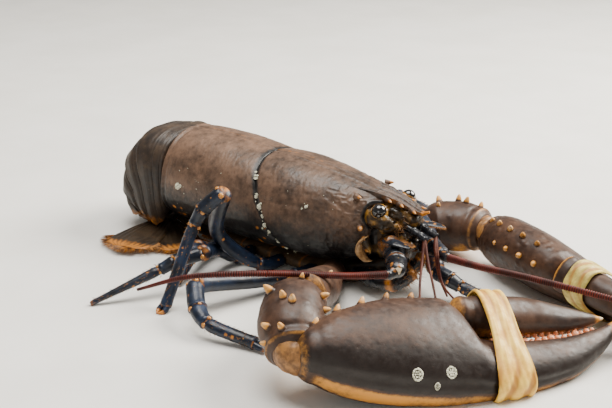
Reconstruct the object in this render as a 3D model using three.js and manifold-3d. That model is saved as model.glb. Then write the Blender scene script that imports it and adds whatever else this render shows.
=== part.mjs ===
// A life-size clawed lobster, lying on its belly with its tail curled under and a band round each claw.
// Millimetres, +Z up, +X towards the head, the animal's right side towards -Y.
// The modelling frame starts on the floor below the tip of the rostrum. The last step moves the
// whole group so that the middle of its bounding box stands over the origin.
import * as THREE from "three";
import { mergeVertices } from "three/addons/utils/BufferGeometryUtils.js";
import Module from "manifold-3d";

const wasm = await Module();
wasm.setup();

// Driving dimensions of the body
const GAP = 0.3; // between plates that touch
const FLOOR = 0;
const BELLY_TOP = 7.2;
const FRONT_X = -20; // front edge of the carapace below the eyes
const EYE = { x: -17.5, y: 12, z: 40.6, radius: 3.4 };
const EYE_SOCKET = 7.4;

// Stations of the carapace, from the rear edge to the neck groove and on to the front edge.
// top and bottom are heights, half is the half width, lean is how far a ring leans forward per mm down.
const THORAX = [
  { x: -142, top: 52.6, bottom: 8.6, half: 24, lean: 0 },
  { x: -140.6, top: 54.4, bottom: 7.8, half: 25.8, lean: 0 },
  { x: -128, top: 55.2, bottom: 7.5, half: 27.8, lean: 0.07 },
  { x: -112, top: 55, bottom: 7.5, half: 28.4, lean: 0.24 },
  { x: -98, top: 53.8, bottom: 7.5, half: 28, lean: 0.46 },
  { x: -90, top: 52.8, bottom: 7.6, half: 27.2, lean: 0.56 },
  { x: -87.6, top: 51.2, bottom: 8.4, half: 25.6, lean: 0.58 },
];
const HEAD = [
  { x: -87.6 + GAP, top: 51, bottom: 8.4, half: 25.4, lean: 0.58 },
  { x: -85, top: 52.6, bottom: 7.7, half: 27, lean: 0.56 },
  { x: -73, top: 53, bottom: 7.8, half: 27, lean: 0.46 },
  { x: -58, top: 51.8, bottom: 8.8, half: 25.4, lean: 0.32 },
  { x: -42, top: 49.6, bottom: 10.6, half: 21.8, lean: 0.18 },
  { x: -29, top: 47.8, bottom: 13, half: 18, lean: 0.1 },
  { x: FRONT_X, top: 46.2, bottom: 16.4, half: 14.2, lean: 0.04 },
];
const BEAK = [
  { x: -40, y: 0, z: 45, half: 9, thick: 4.4 },
  { x: -26, y: 0, z: 44.6, half: 6.4, thick: 3.6 },
  { x: -14, y: 0, z: 43, half: 4.2, thick: 2.6 },
  { x: -6, y: 0, z: 40.4, half: 2.7, thick: 1.9 },
  { x: -2, y: 0, z: 39.6, half: 1.5, thick: 1.3 },
  { x: 1.2, y: 0, z: 41, half: 0.5, thick: 0.5 },
];

// Bounds between the tail's rings: the dorsal point, the ventral point and the half width of each
const TAIL_BOUNDS = [
  { back: [-142.4, 52.8], belly: [-142.4, 16], half: 24, flap: 6 },
  { back: [-149.8, 54], belly: [-146, 15.6], half: 25.4, flap: 13 },
  { back: [-165.4, 51], belly: [-151.6, 15], half: 25.6, flap: 14 },
  { back: [-176, 38.6], belly: [-157, 15], half: 25.2, flap: 9.4 },
  { back: [-178.4, 19], belly: [-161, 13.4], half: 24.4, flap: 3 },
  { back: [-172.4, 3], belly: [-157.4, 8.8], half: 22.4, flap: 0.5 },
  { back: [-153, 0.5], belly: [-149.6, 7.6], half: 17.4, flap: 0 },
];
const FAN_Z = 2.2;

// Claws: stations of the palm and fixed finger along the claw, lo and hi are the lateral and medial edges
const CLAW_LENGTH = 132;
const PALM = [
  { x: 0, lo: -8.6, hi: 3, thick: 7.6 },
  { x: 5, lo: -12, hi: 8, thick: 11 },
  { x: 18, lo: -18.8, hi: 14.6, thick: 13.6 },
  { x: 38, lo: -23.8, hi: 18.4, thick: 13.8 },
  { x: 57, lo: -25, hi: 18, thick: 12.2 },
  { x: 63, lo: -24.8, hi: 13.6, thick: 11.2 },
  { x: 69, lo: -24.6, hi: -0.4, thick: 10 },
  { x: 86, lo: -23, hi: -2.4, thick: 8.2 },
  { x: 104, lo: -18.4, hi: -1.8, thick: 6.2 },
  { x: 119, lo: -10, hi: 1, thick: 4.2 },
  { x: 128, lo: -2.2, hi: 4, thick: 2.4 },
  { x: CLAW_LENGTH, lo: 4, hi: 5.6, thick: 0.8 },
];
const FINGER = [
  { x: 61.5, lo: 7.4, hi: 13.6, thick: 6.2 },
  { x: 65, lo: 4.6, hi: 17.2, thick: 8.6 },
  { x: 73, lo: 2.8, hi: 18, thick: 8.4 },
  { x: 90, lo: 0.4, hi: 16.8, thick: 7.4 },
  { x: 106, lo: 0.6, hi: 13, thick: 5.6 },
  { x: 118, lo: 2.6, hi: 9, thick: 3.7 },
  { x: 126, lo: 5.4, hi: 6.6, thick: 0.9 },
];
const CLAWS = {
  right: {
    side: -1,
    size: 1.04,
    wrist: [10, -106, 20],
    tip: [91, 2, 10],
    roll: 33,
    carpus: [[-12, -75, 23.5], [-8, -84, 24.6], [-1, -95, 22], [8.2, -105, 17.6]],
    merus: [[-40, -14.6, 6.2], [-36, -24, 7], [-25, -44, 13.6], [-13.5, -72.5, 23]],
  },
  left: {
    side: 1,
    size: 0.94,
    wrist: [3, 51, 16],
    tip: [120.5, 9, 10],
    roll: 36,
    carpus: [[-27, 42, 12.6], [-21, 47.2, 14], [-11, 51, 15], [2, 51, 16]],
    merus: [[-41, 14.6, 6], [-38, 24, 7.4], [-33, 34, 10], [-28.4, 41, 12.2]],
  },
};
const CARPUS_RADII = [8.6, 13, 13.6, 10.2];
const MERUS_RADII = [5.4, 6.4, 8.6, 9.6];
const BAND = { from: 72, to: 83.5, wall: 1.1 };

// Walking legs: hip, knee and the joints below the knee, one list for each side. A pair with a pincer says so.
const LEGS = [
  {
    pincer: true,
    hip: -52,
    radius: 3.9,
    right: { path: [[-60, -48, 8], [-70, -77, 14]], low: [[-60, -86, 9], [-51, -90, 6.4]], foot: [-27, -86, 2.6] },
    left: { path: [[-50, 30, 10], [-38, 36, 24.6], [-16, 26, 21], [3, 5, 11]], low: [[11, 4, 9.6], [16, 4.6, 7.6]], foot: [33, 8, 2.6] },
  },
  {
    pincer: true,
    hip: -71,
    radius: 3.7,
    right: { path: [[-87, -42, 21], [-72, -55, 50]], low: [[-79, -60, 42], [-82, -63, 35]], foot: [-82, -84, 1.6] },
    left: { path: [[-68, 40, 11], [-60, 56, 18]], low: [[-57, 65, 16], [-55, 70, 13]], foot: [-50, 88, 1.6] },
  },
  {
    pincer: false,
    hip: -90,
    radius: 3.5,
    right: { path: [[-92, -38, 11], [-84, -57, 18]], low: [[-91, -67, 15.6], [-95, -73, 12.6]], foot: [-112, -101, 0.9] },
    left: { path: [[-92, 40, 12], [-94, 57, 19]], low: [[-96, 66, 17], [-98, 71, 14]], foot: [-106, 93, 0.9] },
  },
  {
    pincer: false,
    hip: -107,
    radius: 3.3,
    right: { path: [[-106, -30, 5.6], [-101, -43, 12]], low: [[-99, -48, 11], [-98, -51, 8.6]], foot: [-95, -63, 0.9] },
    left: { path: [[-112, 34, 8], [-120, 49, 16]], low: [[-126, 57, 14], [-130, 61, 11]], foot: [-148, 77, 0.9] },
  },
];
const HIP = { y: 14.4, z: 4 };

// Feelers: the three short base pieces and the whip of each, as points with a radius
const FEELERS = {
  right: {
    base: [[-12, -9, 24, 4.4], [-7, -14.5, 23, 4.6], [-2, -20.5, 22.6, 4.4], [2, -26, 22.6, 3.8]],
    whip: [[1, -30.4, 21.7, 1.9], [-6, -50, 26.3, 1.5], [-16, -74, 33, 1.45], [-28, -96, 37.6, 1.4], [-44, -108, 36, 1.15], [-66, -114, 26.4, 0.7]],
  },
  left: {
    base: [[-12, 7, 22.4, 4.2], [-5.5, 6.5, 23, 4.2], [3, 3, 23.4, 3.8], [10, -2, 24, 3.2]],
    whip: [[13.4, -4.4, 24.2, 1.9], [32, -10, 27, 1.6], [60, -15, 31, 1.45], [94, -17, 33, 1.3], [130, -12, 31, 1.1], [168, -4, 25, 0.7]],
  },
};
const WHIP_SPLIT = 0.5;
const FEELERETS = {
  right: {
    base: [[-9, -3.6, 33, 2.2], [-2, -4.6, 31.6, 2], [4, -6.4, 30.6, 1.8]],
    whips: [
      [[3, -6.2, 30.6, 0.9], [7, -14, 23.6, 0.7], [12.5, -24, 17.8, 0.6], [18.5, -33, 13, 0.5]],
      [[3, -6.2, 30.6, 0.9], [9, -12.4, 23.6, 0.7], [16.6, -20, 17.5, 0.6], [23.2, -27, 12, 0.5]],
    ],
  },
  left: {
    base: [[-9, 2.8, 33, 2.2], [-1, 1.6, 31.6, 2], [6, -0.6, 30.8, 1.8]],
    whips: [
      [[5, -0.2, 30.8, 0.9], [10, -6, 25, 0.7], [16, -11, 14.5, 0.6], [27.5, -13.4, 7.5, 0.5]],
      [[5, -0.2, 30.8, 0.9], [9, -6.4, 26, 0.7], [12.8, -8.6, 16, 0.6], [17.6, -9, 8, 0.5]],
    ],
  },
};

// Outer jaw legs: the right one is spread, the left one is folded in beside the foremost leg
const JAW_LEGS = {
  right: [[-34, -7, 6, 3.2], [-20, -12.5, 7.6, 3.9], [-6, -14.4, 9.6, 3.4], [1.6, -10.6, 15, 2.2]],
  left: [[-30, 5, 6, 3.2], [-18, 6, 7.6, 3.6], [-8, 5.4, 11, 3.2], [-5, 4.4, 17, 2.2]],
};

// Colours
const shell = (color, roughness = 0.5) => new THREE.MeshStandardMaterial({ color, roughness, metalness: 0 });
const MATERIALS = {
  carapace: shell(0x3b302b, 0.48),
  tail: shell(0x38302c, 0.5),
  claw: shell(0x3a2c27, 0.46),
  leg: shell(0x232f47, 0.4),
  joint: shell(0x6b4426, 0.55),
  whip: shell(0x5a2219, 0.45),
  eye: shell(0x050506, 0.12),
  stalk: shell(0x6e4418, 0.5),
  fan: shell(0x40342c, 0.5),
  belly: shell(0x8a6a48, 0.6),
  mouth: shell(0x3a2f28, 0.55),
  band: shell(0xd9bf84, 0.6),
};

// Turns a three.js geometry into a solid for cutting and joining.
function solid(geometry) {
  const g = geometry.clone();
  for (const name of ["normal", "uv"]) g.deleteAttribute(name);
  const merged = mergeVertices(g.index ? g.toNonIndexed() : g, 1e-4);
  return new wasm.Manifold(
    new wasm.Mesh({
      numProp: 3,
      vertProperties: new Float32Array(merged.attributes.position.array),
      triVerts: new Uint32Array(merged.index.array),
    }),
  );
}

const join = (pieces) => pieces.reduce((sum, piece) => sum.add(piece));

// Keeps the largest closed surface, which drops scraps and sealed hollows.
function largest(made) {
  return made.decompose().reduce((a, b) => (b.volume() > a.volume() ? b : a));
}

const floorBlock = solid(new THREE.BoxGeometry(1200, 1200, 200).translate(0, 0, FLOOR - 100));
const onFloor = (made) => made.subtract(floorBlock);

// Skins a list of rings, all with the same number of points, and closes both ends with a fan.
function loft(rings) {
  const count = rings[0].length;
  const positions = rings.flat().flatMap((p) => [p.x, p.y, p.z]);
  const index = [];
  for (let r = 0; r + 1 < rings.length; r++) {
    for (let i = 0; i < count; i++) {
      const a = r * count + i;
      const b = r * count + ((i + 1) % count);
      index.push(a, b, a + count, b, b + count, a + count);
    }
  }
  for (const [ring, turned] of [[0, true], [rings.length - 1, false]]) {
    const middle = rings[ring].reduce((sum, p) => sum.add(p), new THREE.Vector3()).divideScalar(count);
    const centre = positions.length / 3;
    positions.push(middle.x, middle.y, middle.z);
    for (let i = 0; i < count; i++) {
      const a = ring * count + i;
      const b = ring * count + ((i + 1) % count);
      index.push(...(turned ? [centre, b, a] : [centre, a, b]));
    }
  }
  const geometry = new THREE.BufferGeometry();
  geometry.setAttribute("position", new THREE.Float32BufferAttribute(positions, 3));
  geometry.setIndex(index);
  const made = solid(geometry);
  if (made.volume() > 0) return made;
  for (let i = 0; i < index.length; i += 3) [index[i + 1], index[i + 2]] = [index[i + 2], index[i + 1]];
  geometry.setIndex(index);
  return solid(geometry);
}

// A rounded section: (across, up) pairs on a superellipse, squarer as the power falls below 1.
function section(count, power) {
  const soften = (v) => Math.sign(v) * Math.abs(v) ** power;
  return Array.from({ length: count }, (_, i) => {
    const t = (2 * Math.PI * (i + 0.5)) / count;
    return [soften(Math.cos(t)), soften(Math.sin(t))];
  });
}

// One ring of the carapace: domed above its widest level, straighter and flat below it.
function shellRing({ x, top, bottom, half, lean }, grow = 0, count = 28) {
  const widest = bottom + 0.36 * (top - bottom);
  return section(count, 0.86).map(([across, up]) => {
    const z = widest + up * (up > 0 ? top + grow - widest : widest - bottom + grow);
    const narrow = up < 0 ? 1 + 0.16 * up : 1;
    return new THREE.Vector3(x + lean * (top - z), across * (half + grow) * narrow, z);
  });
}

// A tube through points with a radius each, as rings square to the path.
function limb(points, { sides = 8, steps = 10, grow = 0, flat = 1, ends = 0.72 } = {}) {
  const curve = new THREE.CatmullRomCurve3(points.map((p) => new THREE.Vector3(...p)), false, "centripetal");
  const radii = points.map((p) => p[3]);
  const rings = [];
  const across = new THREE.Vector3();
  for (let i = 0; i <= steps; i++) {
    const t = i / steps;
    const at = t * (radii.length - 1);
    const k = Math.min(Math.floor(at), radii.length - 2);
    let radius = radii[k] + (radii[k + 1] - radii[k]) * (at - k) + grow;
    if (i === 0 || i === steps) radius *= ends;
    const along = curve.getTangent(t);
    if (i === 0) across.crossVectors(Math.abs(along.z) > 0.9 ? new THREE.Vector3(0, 1, 0) : new THREE.Vector3(0, 0, 1), along).normalize();
    across.addScaledVector(along, -across.dot(along)).normalize();
    const up = new THREE.Vector3().crossVectors(along, across);
    const middle = curve.getPoint(t);
    if (i === 0) middle.addScaledVector(along, -grow);
    if (i === steps) middle.addScaledVector(along, grow);
    rings.push(
      Array.from({ length: sides }, (_, j) => {
        const angle = (2 * Math.PI * j) / sides;
        return middle.clone().addScaledVector(across, Math.cos(angle) * radius).addScaledVector(up, Math.sin(angle) * radius * flat);
      }),
    );
  }
  return loft(rings);
}

// A pointed spine with its root sunk below the point that it grows from.
function spine(at, direction, length, radius, sides = 5) {
  const sink = 0.9 * radius;
  const geometry = new THREE.ConeGeometry(radius, length + sink, sides).translate(0, (length - sink) / 2, 0);
  const turn = new THREE.Quaternion().setFromUnitVectors(new THREE.Vector3(0, 1, 0), direction.clone().normalize());
  return solid(geometry.applyQuaternion(turn).translate(at.x, at.y, at.z));
}

const ball = (at, radius, across = 10, up = 7) => solid(new THREE.SphereGeometry(radius, across, up).translate(...at));
const vec = (x, y, z) => new THREE.Vector3(x, y, z);

const group = new THREE.Group();
const made = new Map();
function add(name, body, material) {
  const one = largest(body);
  made.set(name, one);
  const { vertProperties, triVerts } = one.getMesh();
  const geometry = new THREE.BufferGeometry();
  geometry.setAttribute("position", new THREE.BufferAttribute(new Float32Array(vertProperties), 3));
  geometry.setIndex(new THREE.BufferAttribute(new Uint32Array(triVerts), 1));
  geometry.computeVertexNormals();
  const mesh = new THREE.Mesh(geometry, material);
  mesh.name = name;
  group.add(mesh);
}

// Carapace: the head shield with its beak and spines, then the shield of the thorax
const sides = [["right", -1], ["left", 1]];
const BEAK_TEETH = [-20, -13, -6.4];

function beakRing({ x, z, half, thick }, count = 12) {
  return section(count, 0.9).map(([across, up]) => {
    const dish = 0.9 * thick * Math.abs(across) ** 2;
    return vec(x, across * half, z + up * thick * (up > 0 ? 0.55 : 0.8) + (up > 0 ? 0.35 * dish : 0));
  });
}

function headSpines(y) {
  const spines = BEAK_TEETH.map((x) => {
    const t = (x + 26) / 20;
    const half = 7.8 - 4.2 * t;
    return spine(vec(x, y * (half - 0.6), 45 - 3.9 * t), vec(0.9, 0.75 * y, 0.5), 3, 1.5);
  });
  spines.push(spine(vec(-30, y * 12.4, 46), vec(1, 0.3 * y, 0.45), 3.6, 1.7));
  spines.push(spine(vec(-42, y * 13, 47.8), vec(1, 0.2 * y, 0.6), 2.6, 1.6));
  spines.push(spine(vec(-22, y * 16, 33), vec(1, 0.35 * y, 0.05), 5.4, 2.4));
  spines.push(spine(vec(-23, y * 15.6, 26), vec(1, 0.3 * y, -0.05), 3.8, 1.8));
  return spines;
}

const headShell = (grow = 0) => loft(HEAD.map((station) => shellRing(station, grow)));
const beak = loft(BEAK.map((station) => beakRing(station)));
const sockets = join(sides.map(([, y]) => ball([EYE.x + 0.6, y * (EYE.y + 1.2), EYE.z - 1.4], EYE_SOCKET, 12, 8)));
const headPieces = join([headShell(), beak]).subtract(sockets);
add("carapace_head", join([headPieces, ...sides.flatMap(([, y]) => headSpines(y))]), MATERIALS.carapace);
const thoraxShell = (grow = 0) => loft(THORAX.map((station) => shellRing(station, grow)));
add("carapace_thorax", thoraxShell(), MATERIALS.carapace);

// Underside: the belly plate between the legs, and the face below the beak that carries eyes and feelers
const BELLY = [
  { x: -114, low: 4, half: 11 },
  { x: -112, low: 1, half: 13 },
  { x: -109, low: 0, half: 14 },
  { x: -60, low: 0, half: 15 },
  { x: -36, low: 0, half: 13.4 },
  { x: -29, low: 2.6, half: 12 },
];
const FACE = [
  { x: FRONT_X + GAP, low: 16, high: 38, half: 11 },
  { x: -14, low: 15, high: 37.4, half: 9.6 },
  { x: -9.6, low: 17, high: 34, half: 7 },
];
function boxRing(x, low, high, half, grow, count = 12) {
  return section(count, 0.6).map(([across, up]) => {
    const middle = (low + high) / 2;
    return vec(x, across * (half + grow), middle + up * ((high - low) / 2 + grow));
  });
}
function underside(grow = 0) {
  const belly = loft(BELLY.map(({ x, low, half }) => boxRing(x, low - 0.4, BELLY_TOP, half, grow)));
  const face = loft(FACE.map(({ x, low, high, half }) => boxRing(x, low, high, half, grow)));
  const throat = loft([boxRing(-42, 1, 8, 11, grow), boxRing(-20, 6, 16.5, 10, grow), boxRing(-12, 12, 20, 8, grow)]);
  return join([belly, throat, face]);
}
const headCutter = headShell(GAP);
add("underside", onFloor(underside()).subtract(headCutter).subtract(thoraxShell(GAP)), MATERIALS.belly);
const undersideCutter = underside(GAP);

// Eyes on short stalks
for (const [name, y] of sides) {
  const eye = [EYE.x, y * EYE.y, EYE.z];
  const root = [-21.4, y * 6.4, 37.4, 3.4];
  add(`eye_${name}`, ball(eye, EYE.radius, 12, 8), MATERIALS.eye);
  const stalk = limb([root, [-19.4, y * 9, 39, 3.5], [...eye, 3.7]], { sides: 10, steps: 4, ends: 0.9 });
  const cut = join([ball(eye, EYE.radius + GAP, 12, 8), headCutter.subtract(sockets), undersideCutter]);
  add(`eyestalk_${name}`, stalk.subtract(cut).subtract(beak), MATERIALS.stalk);
}

// Tail rings, each an arch with a flap at both sides
function tailRing({ back, belly, half, flap }, count = 22) {
  const along = new THREE.Vector2(back[0] - belly[0], back[1] - belly[1]);
  const height = along.length();
  along.normalize();
  return section(count, 0.72).map(([across, up]) => {
    const level = up > 0 ? 0.3 + 0.7 * up : 0.3 + 0.3 * up;
    const hang = up < 0 ? flap * Math.min(1, Math.max(0, Math.abs(across) - 0.55) / 0.3) * Math.min(1, -up * 1.4) : 0;
    const reach = level * height;
    return vec(belly[0] + along.x * reach, across * half, belly[1] + along.y * reach - hang);
  });
}
function between(a, b, t, change = {}) {
  const mix = (p, q) => p + (q - p) * t;
  return {
    back: [mix(a.back[0], b.back[0]), mix(a.back[1], b.back[1])],
    belly: [mix(a.belly[0], b.belly[0]), mix(a.belly[1], b.belly[1])],
    half: mix(a.half, b.half) + (change.half ?? 0),
    flap: mix(a.flap, b.flap) + (change.flap ?? 0),
  };
}
// Draws a bound inwards, for the narrow front of a ring that slides below the ring ahead.
function tucked(bound, amount) {
  const pull = (p, q) => p + (q - p) * (amount / 30);
  return {
    ...bound,
    back: [pull(bound.back[0], bound.belly[0]), pull(bound.back[1], bound.belly[1])],
    half: bound.half - amount,
  };
}
let ringAhead = thoraxShell(GAP);
for (let i = 0; i < 6; i++) {
  const a = TAIL_BOUNDS[i];
  const b = TAIL_BOUNDS[i + 1];
  const rings = [
    tucked(between(a, b, 0.03, { flap: -0.3 * a.flap }), 1.6),
    tucked(between(a, b, 0.14), 0.5),
    between(a, b, 0.5, { half: 0.7, flap: 1.4 }),
    between(a, b, 0.86, { half: 0.5, flap: 0.4 }),
    tucked(between(a, b, 0.97, { flap: -0.3 * b.flap }), 0.5),
  ];
  const body = loft(rings.map((ring) => tailRing(ring)));
  add(`tail_ring_${i + 1}`, onFloor(body).subtract(ringAhead), MATERIALS.tail);
  const wide = [between(a, b, -0.02), between(a, b, 0.5), between(a, b, 1)];
  ringAhead = loft(wide.map((ring) => tailRing({ ...ring, half: ring.half + 1, flap: ring.flap + 2 })));
}

// Tail fan: the telson and two blades on each side, flat plates that widen to a rounded end
function blade(root, heading, length, half, thick, z) {
  const across = vec(-Math.sin(heading), Math.cos(heading), 0);
  const along = vec(Math.cos(heading), Math.sin(heading), 0);
  const widths = [[0, 0.36], [0.12, 0.5], [0.45, 0.86], [0.75, 1], [0.92, 0.86], [1, 0.52]];
  return loft(
    widths.map(([t, w]) => {
      const middle = vec(root[0], root[1], z).addScaledVector(along, t * length);
      return section(10, 0.75).map(([side, up]) =>
        middle.clone().addScaledVector(across, side * half * w).add(vec(0, 0, up * thick * (1 - 0.5 * t * t))),
      );
    }),
  );
}
const lastRing = made.get("tail_ring_6");
const blades = [["telson", 0, 36, 13, 1.7, [-151, 0], FAN_Z]];
for (const [name, y] of sides) {
  blades.push([`fan_inner_${name}`, y * 0.66, 38, 11.5, 1.1, [-152, y * 9.5], FAN_Z - 0.7]);
  blades.push([`fan_outer_${name}`, y * 1.32, 38, 13, 1.1, [-154, y * 13], FAN_Z + 0.5]);
}
const placed = [];
for (const [name, heading, length, half, thick, root, z] of blades) {
  let body = blade(root, heading, length, half, thick, z).subtract(lastRing);
  for (const other of placed) body = body.subtract(other);
  add(name, onFloor(body), MATERIALS.fan);
  placed.push(blade(root, heading, length + GAP, half + GAP, thick + GAP, z));
}

// Places a claw's own frame: x along the claw, y towards its movable finger, z up through its broad face.
function clawFrame({ side, size, wrist, tip, roll }) {
  const from = vec(...wrist);
  const along = vec(...tip).sub(from).normalize();
  const level = vec(-along.y, along.x, 0).normalize().multiplyScalar(-side);
  const up = new THREE.Vector3().crossVectors(along, level);
  if (up.z < 0) up.negate();
  const angle = THREE.MathUtils.degToRad(roll);
  const medial = level.clone().multiplyScalar(Math.cos(angle)).addScaledVector(up, Math.sin(angle));
  const broad = up.clone().multiplyScalar(Math.cos(angle)).addScaledVector(level, -Math.sin(angle));
  return (x, y, z) =>
    from.clone().addScaledVector(along, size * x).addScaledVector(medial, size * y).addScaledVector(broad, size * z);
}
function clawRings(stations, place, grow = 0, count = 16) {
  return stations.map(({ x, lo, hi, thick }, i) => {
    const middle = (lo + hi) / 2;
    const half = (hi - lo) / 2 + grow;
    const push = i === 0 ? -grow : i === stations.length - 1 ? grow : 0;
    return section(count, 0.92).map(([across, up]) => place(x + push, middle + across * half, up * (thick + grow)));
  });
}
// The edge of a station list at a distance along the claw.
function edgeAt(stations, x, key) {
  const k = Math.max(0, stations.findIndex((s) => s.x >= x) - 1);
  const [a, b] = [stations[k], stations[k + 1]];
  return a[key] + ((b[key] - a[key]) * (x - a.x)) / (b.x - a.x);
}
const direction = (place, x, y, z) => place(x, y, z).sub(place(0, 0, 0));

const PALM_SPINES = [7, 16, 26, 36, 46];
const POLLEX_TEETH = 11;
const FINGER_TEETH = 9;
function palmExtras(place) {
  const pieces = [];
  for (const x of PALM_SPINES) {
    const y = edgeAt(PALM, x, "hi");
    pieces.push(spine(place(x, y - 2.4, 5), direction(place, 0.3, 0.8, 0.55), 4.2, 2.6));
    pieces.push(spine(place(x + 5, y - 1.2, -3.4), direction(place, 0.4, 1, -0.1), 4, 2.2));
  }
  for (let i = 0; i < POLLEX_TEETH; i++) {
    const x = 78 + (i * 36) / (POLLEX_TEETH - 1);
    const size = i % 3 === 1 ? 1.25 : 0.95;
    pieces.push(spine(place(x, edgeAt(PALM, x, "hi") - 0.4, 0), direction(place, 0, 1, 0), 1.1 * size, 1.3 * size));
  }
  return pieces;
}
function fingerExtras(place) {
  return Array.from({ length: FINGER_TEETH }, (_, i) => {
    const x = 82 + (i * 28) / (FINGER_TEETH - 1);
    return spine(place(x, edgeAt(FINGER, x, "lo") + 0.5, 0), direction(place, 0, -1, 0), 0.9, 1.1);
  });
}

for (const [name, claw] of Object.entries(CLAWS)) {
  const place = clawFrame(claw);
  const palm = (grow) => loft(clawRings(PALM, place, grow));
  const finger = (grow) => loft(clawRings(FINGER, place, grow, 12));
  const carpus = (grow) => limb(claw.carpus.map((p, i) => [...p, CARPUS_RADII[i]]), { sides: 12, steps: 6, grow, flat: 0.92 });
  const merus = (grow) => limb(claw.merus.map((p, i) => [...p, MERUS_RADII[i]]), { sides: 10, steps: 8, grow, flat: 1.06 });
  const palmSolid = join([palm(0), ...palmExtras(place)]);
  add(`palm_${name}`, onFloor(palmSolid), MATERIALS.claw);
  const fingerSolid = join([finger(0), ...fingerExtras(place)]);
  add(`finger_${name}`, onFloor(fingerSolid).subtract(palm(GAP)).subtract(join([...palmExtras(place)])), MATERIALS.claw);

  // The band lies round both fingers: a sleeve over their common outline
  const sleeve = (grow) => {
    const stations = [BAND.from, (BAND.from + BAND.to) / 2, BAND.to].map((x) => ({
      x,
      lo: edgeAt(PALM, x, "lo"),
      hi: edgeAt(FINGER, x, "hi"),
      thick: Math.max(edgeAt(PALM, x, "thick"), edgeAt(FINGER, x, "thick")),
    }));
    return stations.map(({ x, lo, hi, thick }) => {
      const middle = (lo + hi) / 2;
      return section(20, 0.62).map(([across, up]) =>
        place(x, middle + across * ((hi - lo) / 2 + grow), up * (thick + grow)),
      );
    });
  };
  const inner = sleeve(1);
  inner[0] = inner[0].map((p) => p.clone().addScaledVector(direction(place, 1, 0, 0), -2));
  inner[2] = inner[2].map((p) => p.clone().addScaledVector(direction(place, 1, 0, 0), 2));
  const band = loft(sleeve(1 + BAND.wall)).subtract(loft(inner));
  add(`band_${name}`, onFloor(band).subtract(join([palm(GAP), finger(GAP)])), MATERIALS.band);

  const wristKnobs = claw.carpus.slice(1, 3).flatMap((p, i) => {
    const out = claw.side * (i ? 1 : 0.4);
    return [[0.35, -0.2, 1], [-0.8, 0.5 * out, 0.6], [0.9, -0.5 * out, 0.55], [-0.2, out, 0.75]].map((d) => {
      const aim = vec(...d).normalize();
      return spine(vec(...p).addScaledVector(aim, 11.4), aim, 4.6, 2.4);
    });
  });
  const carpusSolid = join([carpus(0), ...wristKnobs]).subtract(palm(GAP));
  add(`wrist_${name}`, onFloor(carpusSolid).subtract(join(palmExtras(place))), MATERIALS.claw);
  const armSpines = [0.5, 0.72].map((t) => {
    const [a, b] = [vec(...claw.merus[2]), vec(...claw.merus[3])];
    const at = a.lerp(b, (t - 0.4) * 1.5);
    return spine(at.clone().add(vec(4, 0, 6)), vec(0.5, -0.3 * claw.side, 0.9), 5, 2.2);
  });
  const arm = join([merus(0), ...armSpines]).subtract(carpus(GAP)).subtract(undersideCutter);
  add(`arm_${name}`, onFloor(arm).subtract(join([headCutter, ...wristKnobs])), MATERIALS.claw);
}

// Walking legs: the thigh runs from the belly to the knee, the shank from the knee to the foot
LEGS.forEach((leg, i) => {
  for (const [name, y] of sides) {
    const r = leg.radius;
    const { path, low, foot } = leg[name];
    const knee = path[path.length - 1];
    const hip = [leg.hip, y * HIP.y, HIP.z];
    const out = [leg.hip + 0.25 * (path[0][0] - leg.hip), y * 26, HIP.z];
    const rise = path.slice(0, -1).map((p) => [...p, 0.95 * r]);
    const thighPoints = [[...hip, 0.9 * r], [...out, 0.9 * r], ...rise, [...knee, 1.1 * r]];
    const shankPoints = [[...knee, 0.95 * r], [...low[0], 1.05 * r], [...low[1], 0.8 * r], [...foot, leg.pincer ? 0.78 * r : 0.4 * r]];
    const thighSteps = 2 * path.length + 4;
    const thigh = join([limb(thighPoints, { steps: thighSteps }), ball(knee, 1.1 * r, 8, 5)]);
    const shankPieces = [limb(shankPoints, { steps: 7 })];
    const last = vec(...foot).sub(vec(...low[1])).normalize();
    const aside = vec(-last.y, last.x, 0).normalize();
    for (const turn of leg.pincer ? [-1, 1] : []) {
      const ahead = (distance, offset, lowest) => {
        const p = vec(...foot).addScaledVector(last, distance).addScaledVector(aside, turn * offset);
        return [p.x, p.y, Math.max(p.z, lowest)];
      };
      const points = [[...ahead(-2, 1.1, 1.4), 1.6], [...ahead(4, 1.7, 1), 1.4], [...ahead(9, 0.4, 0.6), 0.5]];
      shankPieces.push(limb(points, { sides: 6, steps: 3 }));
    }
    const kneeCut = ball(knee, 1.1 * r + GAP, 8, 5);
    const shank = join(shankPieces).subtract(kneeCut).subtract(limb(thighPoints, { steps: thighSteps, grow: GAP }));
    const body = join([undersideCutter, headCutter, thoraxShell(GAP)]);
    add(`thigh_${name}_${i + 1}`, onFloor(thigh).subtract(body), MATERIALS.leg);
    add(`shank_${name}_${i + 1}`, onFloor(shank), MATERIALS.leg);
  }
});

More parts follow.
